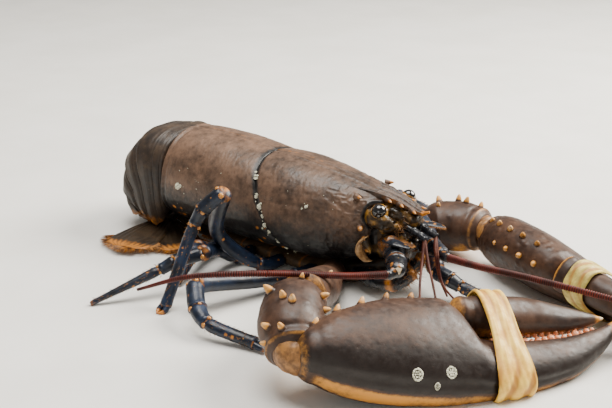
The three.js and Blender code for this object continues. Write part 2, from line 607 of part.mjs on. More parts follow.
// Feelers: base pieces with a leaf-shaped scale, and the long whips in two lengths
for (const [name, y] of sides) {
  const { base, whip } = FEELERS[name];
  const scale = limb([[-12, y * 12.4, 29.4, 3.2], [-5, y * 14.6, 30.2, 3.6], [3, y * 15.4, 30.4, 0.8]], { sides: 8, steps: 5, flat: 0.4 });
  const foot = limb(base, { sides: 10, steps: 7 });
  const cut = join([undersideCutter, headCutter]);
  const neck = limb([[-15, y * 11, 25, 3.6], [-9, y * 13, 28, 3.4]], { sides: 8, steps: 2 });
  add(`feeler_base_${name}`, join([foot, scale, neck]).subtract(cut), MATERIALS.leg);
  const curve = new THREE.CatmullRomCurve3(whip.map((p) => vec(p[0], p[1], p[2])), false, "centripetal");
  const radius = (t) => {
    const at = t * (whip.length - 1);
    const k = Math.min(Math.floor(at), whip.length - 2);
    return whip[k][3] + (whip[k + 1][3] - whip[k][3]) * (at - k);
  };
  const stretch = (from, to) => Array.from({ length: 6 }, (_, k) => {
    const t = from + ((to - from) * k) / 5;
    return [...curve.getPoint(t).toArray(), radius(t)];
  });
  const inner = limb(stretch(0, WHIP_SPLIT), { sides: 8, steps: 11, ends: 0.9 });
  const slack = GAP / curve.getLength();
  const outer = limb(stretch(WHIP_SPLIT + slack, 1), { sides: 7, steps: 10, ends: 0.9 });
  add(`feeler_${name}_1`, inner.subtract(limb(base, { sides: 10, steps: 7, grow: GAP })), MATERIALS.whip);
  add(`feeler_${name}_2`, outer, MATERIALS.whip);
  const small = FEELERETS[name];
  const pieces = [limb(small.base, { sides: 8, steps: 4 }), ...small.whips.map((w) => limb(w, { sides: 5, steps: 8 }))];
  add(`feeleret_${name}`, join(pieces).subtract(join([undersideCutter, limb(base, { sides: 10, steps: 7, grow: GAP })])), MATERIALS.whip);
}

// Mouth: the outer jaw legs, folded below the face
for (const [name] of sides) {
  const jaw = limb(JAW_LEGS[name], { sides: 8, steps: 8 });
  add(`jaw_leg_${name}`, onFloor(jaw).subtract(undersideCutter), MATERIALS.mouth);
}

// Moves the whole so that its bounding box stands over the origin
const box = new THREE.Box3().setFromObject(group);
const centre = box.getCenter(new THREE.Vector3());
group.position.set(-centre.x, -centre.y, -box.min.z);

export default group;
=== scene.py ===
"""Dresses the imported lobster: fine shell plates, claws, legs, feelers, bristles and bands.

A plain floor, soft light and the camera of the photograph complete the scene.

Every size below is in millimetres in the modelling frame, which starts on the floor
below the tip of the beak.
place() turns it into metres in the row's frame.
"""
import math

import bmesh
import bpy
import numpy as np
from bpy.props import FloatProperty, FloatVectorProperty, PointerProperty
from bpy.types import Operator, Panel, PropertyGroup
from mathutils import Matrix, Vector


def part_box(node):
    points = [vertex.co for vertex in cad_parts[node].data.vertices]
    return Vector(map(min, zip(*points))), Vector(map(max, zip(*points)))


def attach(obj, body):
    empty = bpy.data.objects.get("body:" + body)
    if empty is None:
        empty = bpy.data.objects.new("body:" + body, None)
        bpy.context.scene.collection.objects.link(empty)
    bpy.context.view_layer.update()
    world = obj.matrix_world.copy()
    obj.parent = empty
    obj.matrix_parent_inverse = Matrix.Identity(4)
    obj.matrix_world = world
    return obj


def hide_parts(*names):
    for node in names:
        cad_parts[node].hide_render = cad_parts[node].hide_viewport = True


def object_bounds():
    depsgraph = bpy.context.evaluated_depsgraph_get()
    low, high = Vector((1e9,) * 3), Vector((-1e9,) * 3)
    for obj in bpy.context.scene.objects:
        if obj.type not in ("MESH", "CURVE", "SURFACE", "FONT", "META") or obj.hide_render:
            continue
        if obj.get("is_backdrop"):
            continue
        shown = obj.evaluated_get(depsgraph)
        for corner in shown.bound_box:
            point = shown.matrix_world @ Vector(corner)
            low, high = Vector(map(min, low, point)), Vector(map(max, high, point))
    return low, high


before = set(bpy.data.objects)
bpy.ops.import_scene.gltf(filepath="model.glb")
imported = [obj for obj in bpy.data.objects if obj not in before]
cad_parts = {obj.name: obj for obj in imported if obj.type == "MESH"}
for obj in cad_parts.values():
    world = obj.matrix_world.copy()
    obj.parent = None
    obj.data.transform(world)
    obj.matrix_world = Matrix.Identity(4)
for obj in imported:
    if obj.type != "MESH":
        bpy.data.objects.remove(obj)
CAD_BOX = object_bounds()

bl_info = {
    "name": "Lobster dresser",
    "version": (1, 0, 0),
    "blender": (4, 5, 0),
    "location": "3D View > Sidebar > Lobster",
    "description": "Builds the fine pieces of a lobster around its packed solids",
    "category": "Object",
}

MM = 0.001
FLOOR_GAP = 0.03
THORAX_REAR = -142.0
SIDES = (("right", -1), ("left", 1))

# Carapace stations: x, top, bottom, half width, lean
THORAX = (
    (-142.0, 52.6, 8.6, 24.0, 0.0),
    (-140.6, 54.4, 7.8, 25.8, 0.0),
    (-128.0, 55.2, 7.5, 27.8, 0.07),
    (-112.0, 55.0, 7.5, 28.4, 0.24),
    (-98.0, 53.8, 7.5, 28.0, 0.46),
    (-90.0, 52.8, 7.6, 27.2, 0.56),
    (-87.6, 52.0, 8.0, 26.4, 0.58),
)
HEAD = (
    (-87.3, 51.9, 8.0, 26.4, 0.58),
    (-85.0, 52.6, 7.7, 27.0, 0.56),
    (-73.0, 53.0, 7.8, 27.0, 0.46),
    (-58.0, 51.8, 8.8, 25.4, 0.32),
    (-42.0, 49.6, 10.6, 21.8, 0.18),
    (-29.0, 47.4, 13.0, 18.0, 0.0),
    (-20.0, 43.8, 16.4, 14.2, -0.16),
)
# Beak stations: x, z, half width, thickness
BEAK = (
    (-40.0, 45.0, 9.0, 4.4),
    (-26.0, 44.6, 6.4, 3.6),
    (-14.0, 43.0, 4.2, 2.6),
    (-6.0, 40.4, 2.7, 1.9),
    (-2.0, 39.6, 1.5, 1.3),
    (1.2, 41.0, 0.5, 0.5),
)
EYE = (-17.5, 12.0, 40.6)
EYE_RADIUS = 3.4
SOCKET_RADIUS = 7.4

# Bounds between tail rings: back x and z, belly x and z, half width, flap
TAIL_BOUNDS = (
    (-142.4, 52.8, -142.4, 16.0, 24.0, 6.0),
    (-149.8, 54.0, -146.0, 15.6, 25.4, 13.0),
    (-165.4, 51.0, -151.6, 15.0, 25.6, 14.0),
    (-176.0, 38.6, -157.0, 15.0, 25.2, 9.4),
    (-178.4, 19.0, -161.0, 13.4, 24.4, 3.0),
    (-172.4, 3.0, -157.4, 8.8, 22.4, 0.5),
    (-153.0, 0.5, -149.6, 7.6, 17.4, 0.0),
)
# Fan blades: name, side, heading, length, half width, thickness, root x, root y, height
FAN = (
    ("telson", 0, 0.0, 36.0, 13.0, 1.7, -151.0, 0.0, 2.2),
    ("fan_inner_right", -1, -0.66, 38.0, 11.5, 1.1, -152.0, -9.5, 1.5),
    ("fan_outer_right", -1, -1.32, 38.0, 13.0, 1.1, -154.0, -13.0, 2.7),
    ("fan_inner_left", 1, 0.66, 38.0, 11.5, 1.1, -152.0, 9.5, 1.5),
    ("fan_outer_left", 1, 1.32, 38.0, 13.0, 1.1, -154.0, 13.0, 2.7),
)

# Claw stations: distance along the claw, outer edge, inner edge, half thickness
PALM = (
    (0.0, -8.6, 3.0, 7.6),
    (5.0, -12.0, 8.0, 11.0),
    (18.0, -18.8, 14.6, 13.6),
    (38.0, -23.8, 18.4, 13.8),
    (57.0, -25.0, 18.0, 12.2),
    (63.0, -24.8, 13.6, 11.2),
    (69.0, -24.6, -0.4, 10.0),
    (86.0, -23.0, -2.4, 8.2),
    (104.0, -18.4, -1.8, 6.2),
    (119.0, -10.0, 1.0, 4.2),
    (128.0, -2.2, 4.0, 2.4),
    (132.0, 4.0, 5.6, 0.8),
)
FINGER = (
    (61.5, 7.4, 13.6, 6.2),
    (65.0, 4.6, 17.2, 8.6),
    (73.0, 2.8, 18.0, 8.4),
    (90.0, 0.4, 16.8, 7.4),
    (106.0, 0.6, 13.0, 5.6),
    (118.0, 2.6, 9.0, 3.7),
    (126.0, 5.4, 6.6, 0.9),
)
CLAWS = {
    "right": {
        "side": -1,
        "size": 1.04,
        "wrist": (10.0, -106.0, 20.0),
        "tip": (91.0, 2.0, 10.0),
        "roll": 33.0,
        "carpus": ((-12, -75, 23.5), (-8, -84, 24.6), (-1, -95, 22.0), (8.2, -105, 17.6)),
        "merus": ((-40, -14.6, 6.2), (-36, -24, 7), (-25, -44, 13.6), (-13.5, -72.5, 23)),
    },
    "left": {
        "side": 1,
        "size": 0.94,
        "wrist": (3.0, 51.0, 16.0),
        "tip": (120.5, 9.0, 10.0),
        "roll": 36.0,
        "carpus": ((-27, 42, 12.6), (-21, 47.2, 14), (-11, 51, 15), (2, 51, 16)),
        "merus": ((-41, 14.6, 6), (-38, 24, 7.4), (-33, 34, 10), (-28.4, 41, 12.2)),
    },
}
MERUS_RADII = (5.4, 6.4, 8.6, 9.6)
BAND_FROM = 72.0
BAND_TO = 83.5

# Walking legs: pincer, hip x, radius, then for each side the path to the knee,
# the joints below it and the foot
LEGS = (
    (True, -52, 3.9, {
        "right": (((-60, -48, 8), (-70, -77, 14)), ((-60, -86, 9), (-51, -90, 6.4)), (-27, -86, 2.6)),
        "left": (((-50, 30, 10), (-38, 36, 24.6), (-16, 26, 21), (3, 5, 11)), ((11, 4, 9.6), (16, 4.6, 7.6)),
                 (33, 8, 2.6)),
    }),
    (True, -71, 3.7, {
        "right": (((-87, -42, 21), (-72, -55, 50)), ((-79, -60, 42), (-82, -63, 35)), (-82, -84, 1.6)),
        "left": (((-68, 40, 11), (-60, 56, 18)), ((-57, 65, 16), (-55, 70, 13)), (-50, 88, 1.6)),
    }),
    (False, -90, 3.5, {
        "right": (((-92, -38, 11), (-84, -57, 18)), ((-91, -67, 15.6), (-95, -73, 12.6)), (-112, -101, 0.9)),
        "left": (((-92, 40, 12), (-94, 57, 19)), ((-96, 66, 17), (-98, 71, 14)), (-106, 93, 0.9)),
    }),
    (False, -107, 3.3, {
        "right": (((-106, -30, 5.6), (-101, -43, 12)), ((-99, -48, 11), (-98, -51, 8.6)), (-95, -63, 0.9)),
        "left": (((-112, 34, 8), (-120, 49, 16)), ((-126, 57, 14), (-130, 61, 11)), (-148, 77, 0.9)),
    }),
)
HIP_Y = 14.4
HIP_Z = 4.0

# Feelers: base points and whip points with a radius each
FEELERS = {
    "right": (
        ((-12, -9, 24, 4.4), (-7, -14.5, 23, 4.6), (-2, -20.5, 22.6, 4.4), (2, -26, 22.6, 3.8)),
        ((1, -30.4, 21.7, 1.9), (-6, -50, 26.3, 1.5), (-16, -74, 33, 1.45), (-28, -96, 37.6, 1.4),
         (-44, -108, 36, 1.15), (-66, -114, 26.4, 0.7)),
    ),
    "left": (
        ((-12, 7, 22.4, 4.2), (-5.5, 6.5, 23, 4.2), (3, 3, 23.4, 3.8), (10, -2, 24, 3.2)),
        ((13.4, -4.4, 24.2, 1.9), (32, -10, 27, 1.6), (60, -15, 31, 1.45), (94, -17, 33, 1.3),
         (130, -12, 31, 1.1), (168, -4, 25, 0.7)),
    ),
}
FEELERETS = {
    "right": (
        ((-9, -3.6, 33, 2.2), (-2, -4.6, 31.6, 2), (4, -6.4, 30.6, 1.8)),
        (((3, -6.2, 30.6, 0.9), (7, -14, 23.6, 0.7), (12.5, -24, 17.8, 0.6), (18.5, -33, 13, 0.5)),
         ((3, -6.2, 30.6, 0.9), (9, -12.4, 23.6, 0.7), (16.6, -20, 17.5, 0.6), (23.2, -27, 12, 0.5))),
    ),
    "left": (
        ((-9, 2.8, 33, 2.2), (-1, 1.6, 31.6, 2), (6, -0.6, 30.8, 1.8)),
        (((5, -0.2, 30.8, 0.9), (10, -6, 25, 0.7), (16, -11, 14.5, 0.6), (27.5, -13.4, 7.5, 0.5)),
         ((5, -0.2, 30.8, 0.9), (9, -6.4, 26, 0.7), (12.8, -8.6, 16, 0.6), (17.6, -9, 8, 0.5))),
    ),
}
# Jaw legs: points with a radius each. The right one is spread and the left one folded.
JAW_LEGS = {
    "right": ((-34, -7, 6, 3.2), (-20, -12.5, 7.6, 3.9), (-6, -14.4, 9.6, 3.4), (1.6, -10.6, 15, 2.2)),
    "left": ((-30, 5, 6, 3.2), (-18, 6, 7.6, 3.6), (-8, 5.4, 11, 3.2), (-5, 4.4, 17, 2.2)),
}


def frame_shift():
    """How far the row's frame lies from the modelling frame, in millimetres."""
    low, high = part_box("carapace_thorax")
    return np.array([low.x / MM - THORAX_REAR, (low.y + high.y) / 2 / MM, 0.0])


SHIFT = frame_shift()


def place(points):
    """Modelling frame in millimetres to row frame in metres."""
    return (np.asarray(points, float) + SHIFT) * MM


def smooth_step(low, high, value):
    t = np.clip((value - low) / (high - low), 0, 1)
    return t * t * (3 - 2 * t)


def bell(value, centre, width):
    return np.exp(-(((value - centre) / width) ** 2))


def spread(xs, ys, at):
    """A smooth curve through stations, which never passes beyond them."""
    xs, ys, at = np.asarray(xs, float), np.asarray(ys, float), np.asarray(at, float)
    step = np.diff(xs)
    slope = np.diff(ys) / step
    tangent = np.zeros(len(xs))
    same = slope[:-1] * slope[1:] > 0
    total = np.where(same, slope[:-1] + slope[1:], 1)
    tangent[1:-1] = np.where(same, 2 * slope[:-1] * slope[1:] / total, 0)
    tangent[0], tangent[-1] = slope[0], slope[-1]
    k = np.clip(np.searchsorted(xs, at) - 1, 0, len(step) - 1)
    t = (at - xs[k]) / step[k]
    a = ys[k] * (1 + 2 * t) * (1 - t) ** 2 + tangent[k] * step[k] * t * (1 - t) ** 2
    return a + ys[k + 1] * t * t * (3 - 2 * t) + tangent[k + 1] * step[k] * t * t * (t - 1)


def scatter_value(i, seed):
    """A repeatable number from -1 to 1 for each whole-number cell."""
    h = i[..., 0] * 374761393 + i[..., 1] * 668265263 + i[..., 2] * 1442695041 + seed * 974711
    h = (h ^ (h >> 13)) * 1274126177
    return ((h ^ (h >> 16)) & 0xFFFF) / 32767.5 - 1


def noise(points, size, seed=0):
    """Soft noise from -1 to 1 with blobs of that size in millimetres."""
    q = np.asarray(points, float) / size
    cell = np.floor(q).astype(np.int64)
    f = q - cell
    u = f * f * (3 - 2 * f)
    total = 0
    for dx in (0, 1):
        for dy in (0, 1):
            for dz in (0, 1):
                wx = u[..., 0] if dx else 1 - u[..., 0]
                wy = u[..., 1] if dy else 1 - u[..., 1]
                wz = u[..., 2] if dz else 1 - u[..., 2]
                total = total + scatter_value(cell + np.array([dx, dy, dz]), seed) * wx * wy * wz
    return total


def layered(points, size, seed=0, layers=3):
    return sum(noise(points, size / 2**k, seed + k) / 2**k for k in range(layers))


def grains(points, size, seed=0):
    """Distance to the nearest scattered grain, as a share of the grains' spacing."""
    q = np.asarray(points, float) / size
    cell = np.floor(q).astype(np.int64)
    best = np.full(q.shape[:-1], 9.0)
    for dx in (-1, 0, 1):
        for dy in (-1, 0, 1):
            for dz in (-1, 0, 1):
                other = cell + np.array([dx, dy, dz])
                jitter = np.stack([scatter_value(other, seed + k) for k in (1, 2, 3)], axis=-1)
                best = np.minimum(best, np.linalg.norm(other + 0.5 + 0.4 * jitter - q, axis=-1))
    return best


def oval(count, power):
    """Across and up values round a section, squarer as the power falls below 1."""
    t = 2 * np.pi * (np.arange(count) + 0.5) / count
    c, s = np.cos(t), np.sin(t)
    return np.sign(c) * np.abs(c) ** power, np.sign(s) * np.abs(s) ** power


def lifted(grid, height):
    """Moves every point of a ring grid outwards by its height."""
    round_ring = np.roll(grid, -1, axis=1) - np.roll(grid, 1, axis=1)
    along = np.gradient(grid, axis=0)
    normal = np.cross(round_ring, along)
    length = np.linalg.norm(normal, axis=-1, keepdims=True)
    normal = normal / np.maximum(length, 1e-9)
    outward = grid - grid.mean(axis=1, keepdims=True)
    middle = len(grid) // 2
    if (normal[middle] * outward[middle]).sum() < 0:
        normal = -normal
    return grid + normal * np.asarray(height)[..., None]


def path_points(points, at):
    """Points on a smooth path through the given points, at values from 0 to 1."""
    p = np.asarray(points, float)
    p = np.vstack([2 * p[0] - p[1], p, 2 * p[-1] - p[-2]])
    out = []
    spans = len(p) - 3
    for value in at:
        k = min(int(value * spans), spans - 1)
        w = value * spans - k
        a, b, c, d = p[k : k + 4]
        ta, tb, tc = (max(np.linalg.norm(v) ** 0.5, 1e-4) for v in (b - a, c - b, d - c))
        m1 = ((b - a) / ta - (c - a) / (ta + tb) + (c - b) / tb) * tb
        m2 = ((c - b) / tb - (d - b) / (tb + tc) + (d - c) / tc) * tb
        w2, w3 = w * w, w * w * w
        out.append((2 * w3 - 3 * w2 + 1) * b + (w3 - 2 * w2 + w) * m1 + (3 * w2 - 2 * w3) * c
                   + (w3 - w2) * m2)
    return np.array(out)


def tube(points, radius, steps, sides, flat=1.0, power=1.0):
    """A ring grid along a path. radius is a function of the share of the way along it."""
    at = np.linspace(0, 1, steps + 1)
    middle = path_points(points, at)
    along = np.gradient(middle, axis=0)
    along /= np.linalg.norm(along, axis=1, keepdims=True)
    start = (0, 1, 0) if abs(along[0][2]) > 0.9 else (0, 0, 1)
    across = np.cross(start, along[0])
    c, s = oval(sides, power)
    rings = []
    for m, a, t in zip(middle, along, at):
        across = across - a * across.dot(a)
        across = across / np.linalg.norm(across)
        up = np.cross(a, across)
        r = radius(t)
        rings.append(m + np.outer(c * r, across) + np.outer(s * r * flat, up))
    return np.array(rings)


def along_share(grid):
    """The share of a tube's length at each of its points."""
    return np.linspace(0, 1, len(grid))[:, None] + 0 * grid[..., 0]


def linear_radius(radii):
    return lambda t: float(np.interp(t * (len(radii) - 1), np.arange(len(radii)), radii))


class Skin:
    """Collects closed surfaces and marks of one piece, then makes its mesh."""

    MARKS = ("warm", "pale", "dark")

    def __init__(self):
        self.points = []
        self.faces = []
        self.marks = {name: [] for name in self.MARKS}
        self.count = 0

    def keep(self, points, marks):
        points = np.asarray(points, float).reshape(-1, 3)
        self.points.append(points)
        for name in self.MARKS:
            value = np.asarray(marks.get(name, 0.0), float)
            full = np.broadcast_to(value, len(points)) if value.ndim == 0 else value.reshape(-1)
            self.marks[name].append(full)
        first = self.count
        self.count += len(points)
        return first

    def grid(self, rings, **marks):
        """A closed tube of rings, capped at each end by a fan of faces to the ring's centre."""
        rings = np.asarray(rings, float)
        n, m = rings.shape[:2]
        first = self.keep(rings, marks)
        j = np.arange(m)
        k = (j + 1) % m
        for r in range(n - 1):
            a = first + r * m
            self.faces += np.stack([a + j, a + k, a + m + k, a + m + j], axis=1).tolist()
        for r, order in ((0, 1), (n - 1, -1)):
            centre = rings[r].mean(axis=0)
            ends = {name: (v if np.ndim(v) == 0 else np.asarray(v)[r].mean()) for name, v in marks.items()}
            c = self.keep([centre], {name: np.array(float(v)) for name, v in ends.items()})
            a = first + r * m
            pairs = np.stack([a + k, a + j, np.full(m, c)], axis=1)
            self.faces += pairs[:, ::order].tolist()

    def spine(self, at, aim, length, radius, sides=10, rings=7, curl=0.0, blunt=0.0, tint=1.0):
        """A spine or, where it is blunt, a knob, which grows out of a wide root and ends in a warm tip."""
        at = np.asarray(at, float)
        aim = np.asarray(aim, float)
        aim = aim / np.linalg.norm(aim)
        side = np.cross(aim, (0.3, 0.2, 1.0))
        side /= np.linalg.norm(side)
        up = np.cross(aim, side)
        c, s = oval(sides, 1)
        t = np.linspace(0, 1, rings)
        sharp = 1.25 * (1 - t) ** 1.5 + 0.2 * np.sqrt(1 - t**6)
        dome = 0.4 * (1 - t) ** 2 + 0.8 * np.sqrt(1 - t**3)
        width = radius * np.maximum(sharp + (dome - sharp) * blunt, 0.02)
        grid = []
        for share, r in zip(t, width):
            middle = at + aim * (share * (length + radius) - radius) + up * curl * length * share**2
            grid.append(middle + np.outer(c * r, side) + np.outer(s * r, up))
        tip = np.repeat(smooth_step(0.4, 0.75, t)[:, None], sides, axis=1)
        self.grid(grid, warm=tint * tip, pale=0.3 * tint * tip**3)

    def build(self, name, material, nodes=(), slot=None):
        mesh = bpy.data.meshes.new(name)
        points = np.vstack(self.points)
        points[:, 2] = np.maximum(points[:, 2], FLOOR_GAP)
        mesh.from_pydata(place(points).tolist(), [], self.faces)
        mesh.polygons.foreach_set("use_smooth", [True] * len(mesh.polygons))
        for mark in self.MARKS:
            values = np.concatenate(self.marks[mark])
            if values.any():
                layer = mesh.attributes.new(mark, "FLOAT", "POINT")
                layer.data.foreach_set("value", values.astype(np.float32))
        mesh.materials.append(material)
        obj = bpy.data.objects.new(name, mesh)
        bpy.context.scene.collection.objects.link(obj)
        return finished(obj, nodes, slot)

    def shell(self, *settings):
        """The same piece with its faces turned outwards."""
        return turned_outwards(self.build(*settings))


def finished(obj, nodes=(), slot=None):
    """Sets a piece on the one body of this still model."""
    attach(obj, "root")
    if nodes:
        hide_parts(*nodes)
    return obj


def turned_outwards(obj):
    """Makes the faces of a finished closed mesh point outwards."""
    bm = bmesh.new()
    bm.from_mesh(obj.data)
    bmesh.ops.recalc_face_normals(bm, faces=bm.faces)
    bm.to_mesh(obj.data)
    bm.free()
    return obj


# Materials and their shared node groups

def colour(hex_value):
    """A linear colour from the usual six-digit kind."""
    parts = [((hex_value >> s) & 255) / 255 for s in (16, 8, 0)]
    return tuple(p / 12.92 if p <= 0.04045 else ((p + 0.055) / 1.055) ** 2.4 for p in parts) + (1.0,)


class Nodes:
    """Adds and links the nodes of one tree."""

    def __init__(self, tree):
        self.tree = tree

    def add(self, kind, inputs=None, **settings):
        node = self.tree.nodes.new(kind)
        for key, value in settings.items():
            setattr(node, key, value)
        for key, value in (inputs or {}).items():
            socket = node.inputs[key]
            if isinstance(value, bpy.types.NodeSocket):
                self.tree.links.new(value, socket)
            else:
                socket.default_value = value
        return node

    def math(self, operation, a, b=0.0, clamp=False):
        node = self.add("ShaderNodeMath", {0: a, 1: b}, operation=operation, use_clamp=clamp)
        return node.outputs[0]

    def mix(self, share, a, b, blend="MIX"):
        node = self.add("ShaderNodeMix", data_type="RGBA", blend_type=blend)
        for index, value in ((0, share), (6, a), (7, b)):
            if isinstance(value, bpy.types.NodeSocket):
                self.tree.links.new(value, node.inputs[index])
            else:
                node.inputs[index].default_value = value
        return node.outputs[2]

    def band(self, value, low, high, out_low=0.0, out_high=1.0):
        node = self.add(
            "ShaderNodeMapRange",
            {"Value": value, "From Min": low, "From Max": high, "To Min": out_low, "To Max": out_high},
            interpolation_type="SMOOTHSTEP",
        )
        return node.outputs["Result"]

    def noise(self, where, size, detail=3.0, roughness=0.55):
        node = self.add(
            "ShaderNodeTexNoise",
            {"Vector": where, "Scale": 1 / (size * MM), "Detail": detail, "Roughness": roughness},
        )
        return node.outputs["Fac"]

    def roughen(self, shader, height, strength, depth):
        node = self.add("ShaderNodeBump", {"Height": height, "Strength": strength, "Distance": depth * MM})
        self.tree.links.new(node.outputs["Normal"], shader.inputs["Normal"])

    def paint(self, geometry, given, out):
        """Ends a Geometry Nodes tree with its material."""
        node = self.add("GeometryNodeSetMaterial", {"Geometry": geometry, "Material": given["Material"]})
        self.tree.links.new(node.outputs[0], out.inputs[0])

    def cells(self, where, size, feature="F1"):
        node = self.add(
            "ShaderNodeTexVoronoi", {"Vector": where, "Scale": 1 / (size * MM)}, feature=feature
        )
        return node.outputs["Distance"]


def group(name, inputs, outputs):
    """An empty shader group with named sockets: its helper, its inputs and its output node."""
    tree = bpy.data.node_groups.new(name, "ShaderNodeTree")
    for socket, kind, value in inputs:
        made = tree.interface.new_socket(socket, in_out="INPUT", socket_type=kind)
        made.default_value = value
    for socket, kind in outputs:
        tree.interface.new_socket(socket, in_out="OUTPUT", socket_type=kind)
    nodes = Nodes(tree)
    given = nodes.add("NodeGroupInput").outputs
    return nodes, given, nodes.add("NodeGroupOutput")


def mark_value(nodes, name):
    return nodes.add("ShaderNodeAttribute", attribute_name=name).outputs["Fac"]


def mottling_group():
    """Blotches, fine pits and pale flecks of the shell."""
    nodes, given, out = group(
        "Shell mottling",
        (
            ("Dark", "NodeSocketColor", colour(0x2A211D)),
            ("Light", "NodeSocketColor", colour(0x6B5C52)),
            ("Fleck", "NodeSocketColor", colour(0xA08A70)),
            ("Lightness", "NodeSocketFloat", 0.5),
            ("Flecks", "NodeSocketFloat", 0.3),
            ("Shine", "NodeSocketFloat", 0.4),
        ),
        (("Colour", "NodeSocketColor"), ("Roughness", "NodeSocketFloat"), ("Height", "NodeSocketFloat")),
    )
    where = nodes.add("ShaderNodeTexCoord").outputs["Object"]
    blotch = nodes.noise(where, 15, 4.0, 0.6)
    small = nodes.noise(where, 3.2, 4.0, 0.65)
    both = nodes.math("ADD", nodes.math("MULTIPLY", blotch, 0.62), nodes.math("MULTIPLY", small, 0.38))
    lift = nodes.math("SUBTRACT", nodes.math("ADD", both, given["Lightness"]), 0.5)
    tone = nodes.band(lift, 0.3, 0.76)
    pits = nodes.cells(where, 1.15)
    pit = nodes.band(pits, 0.0, 0.34)
    freckle = nodes.math("MULTIPLY", nodes.band(nodes.cells(where, 2.1), 0.2, 0.08),
                         nodes.band(small, 0.5, 0.66))
    base = nodes.mix(tone, given["Dark"], given["Light"])
    base = nodes.mix(nodes.band(pit, 0.0, 1.0, 0.34, 0.0), base, given["Dark"])
    base = nodes.mix(nodes.math("MULTIPLY", freckle, given["Flecks"], clamp=True), base, given["Fleck"])
    fine = nodes.noise(where, 0.5, 2.0)
    rough = nodes.math("ADD", given["Shine"], nodes.band(small, 0.3, 0.7, -0.07, 0.12))
    rough = nodes.math("ADD", rough, nodes.band(pit, 0.0, 1.0, 0.12, 0.0))
    height = nodes.math("ADD", nodes.math("MULTIPLY", pit, 0.55), nodes.math("MULTIPLY", fine, 0.3))
    height = nodes.math("ADD", height, nodes.math("MULTIPLY", small, 0.5))
    for socket, value in (("Colour", base), ("Roughness", rough), ("Height", height)):
        nodes.tree.links.new(value, out.inputs[socket])
    return nodes.tree


def tint_group():
    """Lays the marked warm, pale and dark parts over a colour, with a broken edge."""
    nodes, given, out = group(
        "Marked tint",
        (
            ("Colour", "NodeSocketColor", colour(0x2A211D)),
            ("Warm", "NodeSocketColor", colour(0xC9792F)),
            ("Pale", "NodeSocketColor", colour(0xE4D2AE)),
            ("Deep", "NodeSocketColor", colour(0x0C0A0A)),
        ),
        (("Colour", "NodeSocketColor"),),
    )
    where = nodes.add("ShaderNodeTexCoord").outputs["Object"]
    ragged = nodes.math("MULTIPLY", nodes.math("SUBTRACT", nodes.noise(where, 2.4, 4.0, 0.7), 0.5), 0.9)
    now = given["Colour"]
    for mark, tint in (("dark", "Deep"), ("warm", "Warm"), ("pale", "Pale")):
        value = mark_value(nodes, mark)
        edge = nodes.math("ADD", value, nodes.math("MULTIPLY", ragged, nodes.band(value, 0.0, 0.3)))
        now = nodes.mix(nodes.band(edge, 0.12, 0.78), now, given[tint])
    nodes.tree.links.new(now, out.inputs["Colour"])
    return nodes.tree


def new_material(name):
    """A material with helpers for its nodes, its shader and its link call."""
    material = bpy.data.materials.new(name)
    material.use_nodes = True
    tree = material.node_tree
    return material, Nodes(tree), tree.nodes["Principled BSDF"], tree.links.new


def shell_material(name, groups, dark, light, warm, lightness, flecks, shine, coat=0.12, bump=0.35,
                   fleck=0xA08A70,
                   pale=0xE4D2AE, deep=0x0C0A0A):
    """A satin shell: mottled, pitted and tinted where the piece is marked."""
    material, nodes, shader, link = new_material(name)
    mottle = nodes.add("ShaderNodeGroup", node_tree=groups["mottling"])
    for socket, value in (("Dark", dark), ("Light", light), ("Fleck", colour(fleck)),
                          ("Lightness", lightness), ("Flecks", flecks), ("Shine", shine)):
        mottle.inputs[socket].default_value = value
    tint = nodes.add("ShaderNodeGroup", node_tree=groups["tint"])
    tint.inputs["Warm"].default_value = warm
    tint.inputs["Pale"].default_value = colour(pale)
    tint.inputs["Deep"].default_value = colour(deep)
    link(mottle.outputs["Colour"], tint.inputs["Colour"])
    link(tint.outputs["Colour"], shader.inputs["Base Color"])
    link(mottle.outputs["Roughness"], shader.inputs["Roughness"])
    nodes.roughen(shader, mottle.outputs["Height"], bump, 0.12)
    shader.inputs["Coat Weight"].default_value = coat
    shader.inputs["Coat Roughness"].default_value = 0.22
    shader.inputs["Specular IOR Level"].default_value = 0.34
    return material


def plain_material(name, first, second, size, roughness, bump=0.2, coat=0.0, bump_size=0.6):
    """Two colours clouded into each other, for parts without shell."""
    material, nodes, shader, link = new_material(name)
    where = nodes.add("ShaderNodeTexCoord").outputs["Object"]
    cloud = nodes.noise(where, size, 4.0, 0.62)
    mixed = nodes.mix(nodes.band(cloud, 0.36, 0.64), colour(first), colour(second))
    rough = nodes.band(cloud, 0.3, 0.7, roughness - 0.06, roughness + 0.08)
    link(mixed, shader.inputs["Base Color"])
    link(rough, shader.inputs["Roughness"])
    grain = nodes.noise(where, bump_size, 3.0)
    nodes.roughen(shader, grain, bump, 0.15)
    shader.inputs["Coat Weight"].default_value = coat
    shader.inputs["Coat Roughness"].default_value = 0.08
    return material


def whip_material(name, tone):
    """Red-brown rings, dark between them."""
    material, nodes, shader, link = new_material(name)
    where = nodes.add("ShaderNodeTexCoord").outputs["Object"]
    cloud = nodes.noise(where, 9, 3.0)
    skin = nodes.mix(nodes.band(cloud, 0.35, 0.65), tone, colour(0x3E140F))
    ringed = nodes.mix(nodes.band(mark_value(nodes, "ring"), 0.1, 0.6), colour(0x0E0403), skin)
    link(ringed, shader.inputs["Base Color"])
    link(nodes.band(cloud, 0.3, 0.7, 0.48, 0.62), shader.inputs["Roughness"])
    shader.inputs["Specular IOR Level"].default_value = 0.22
    return material


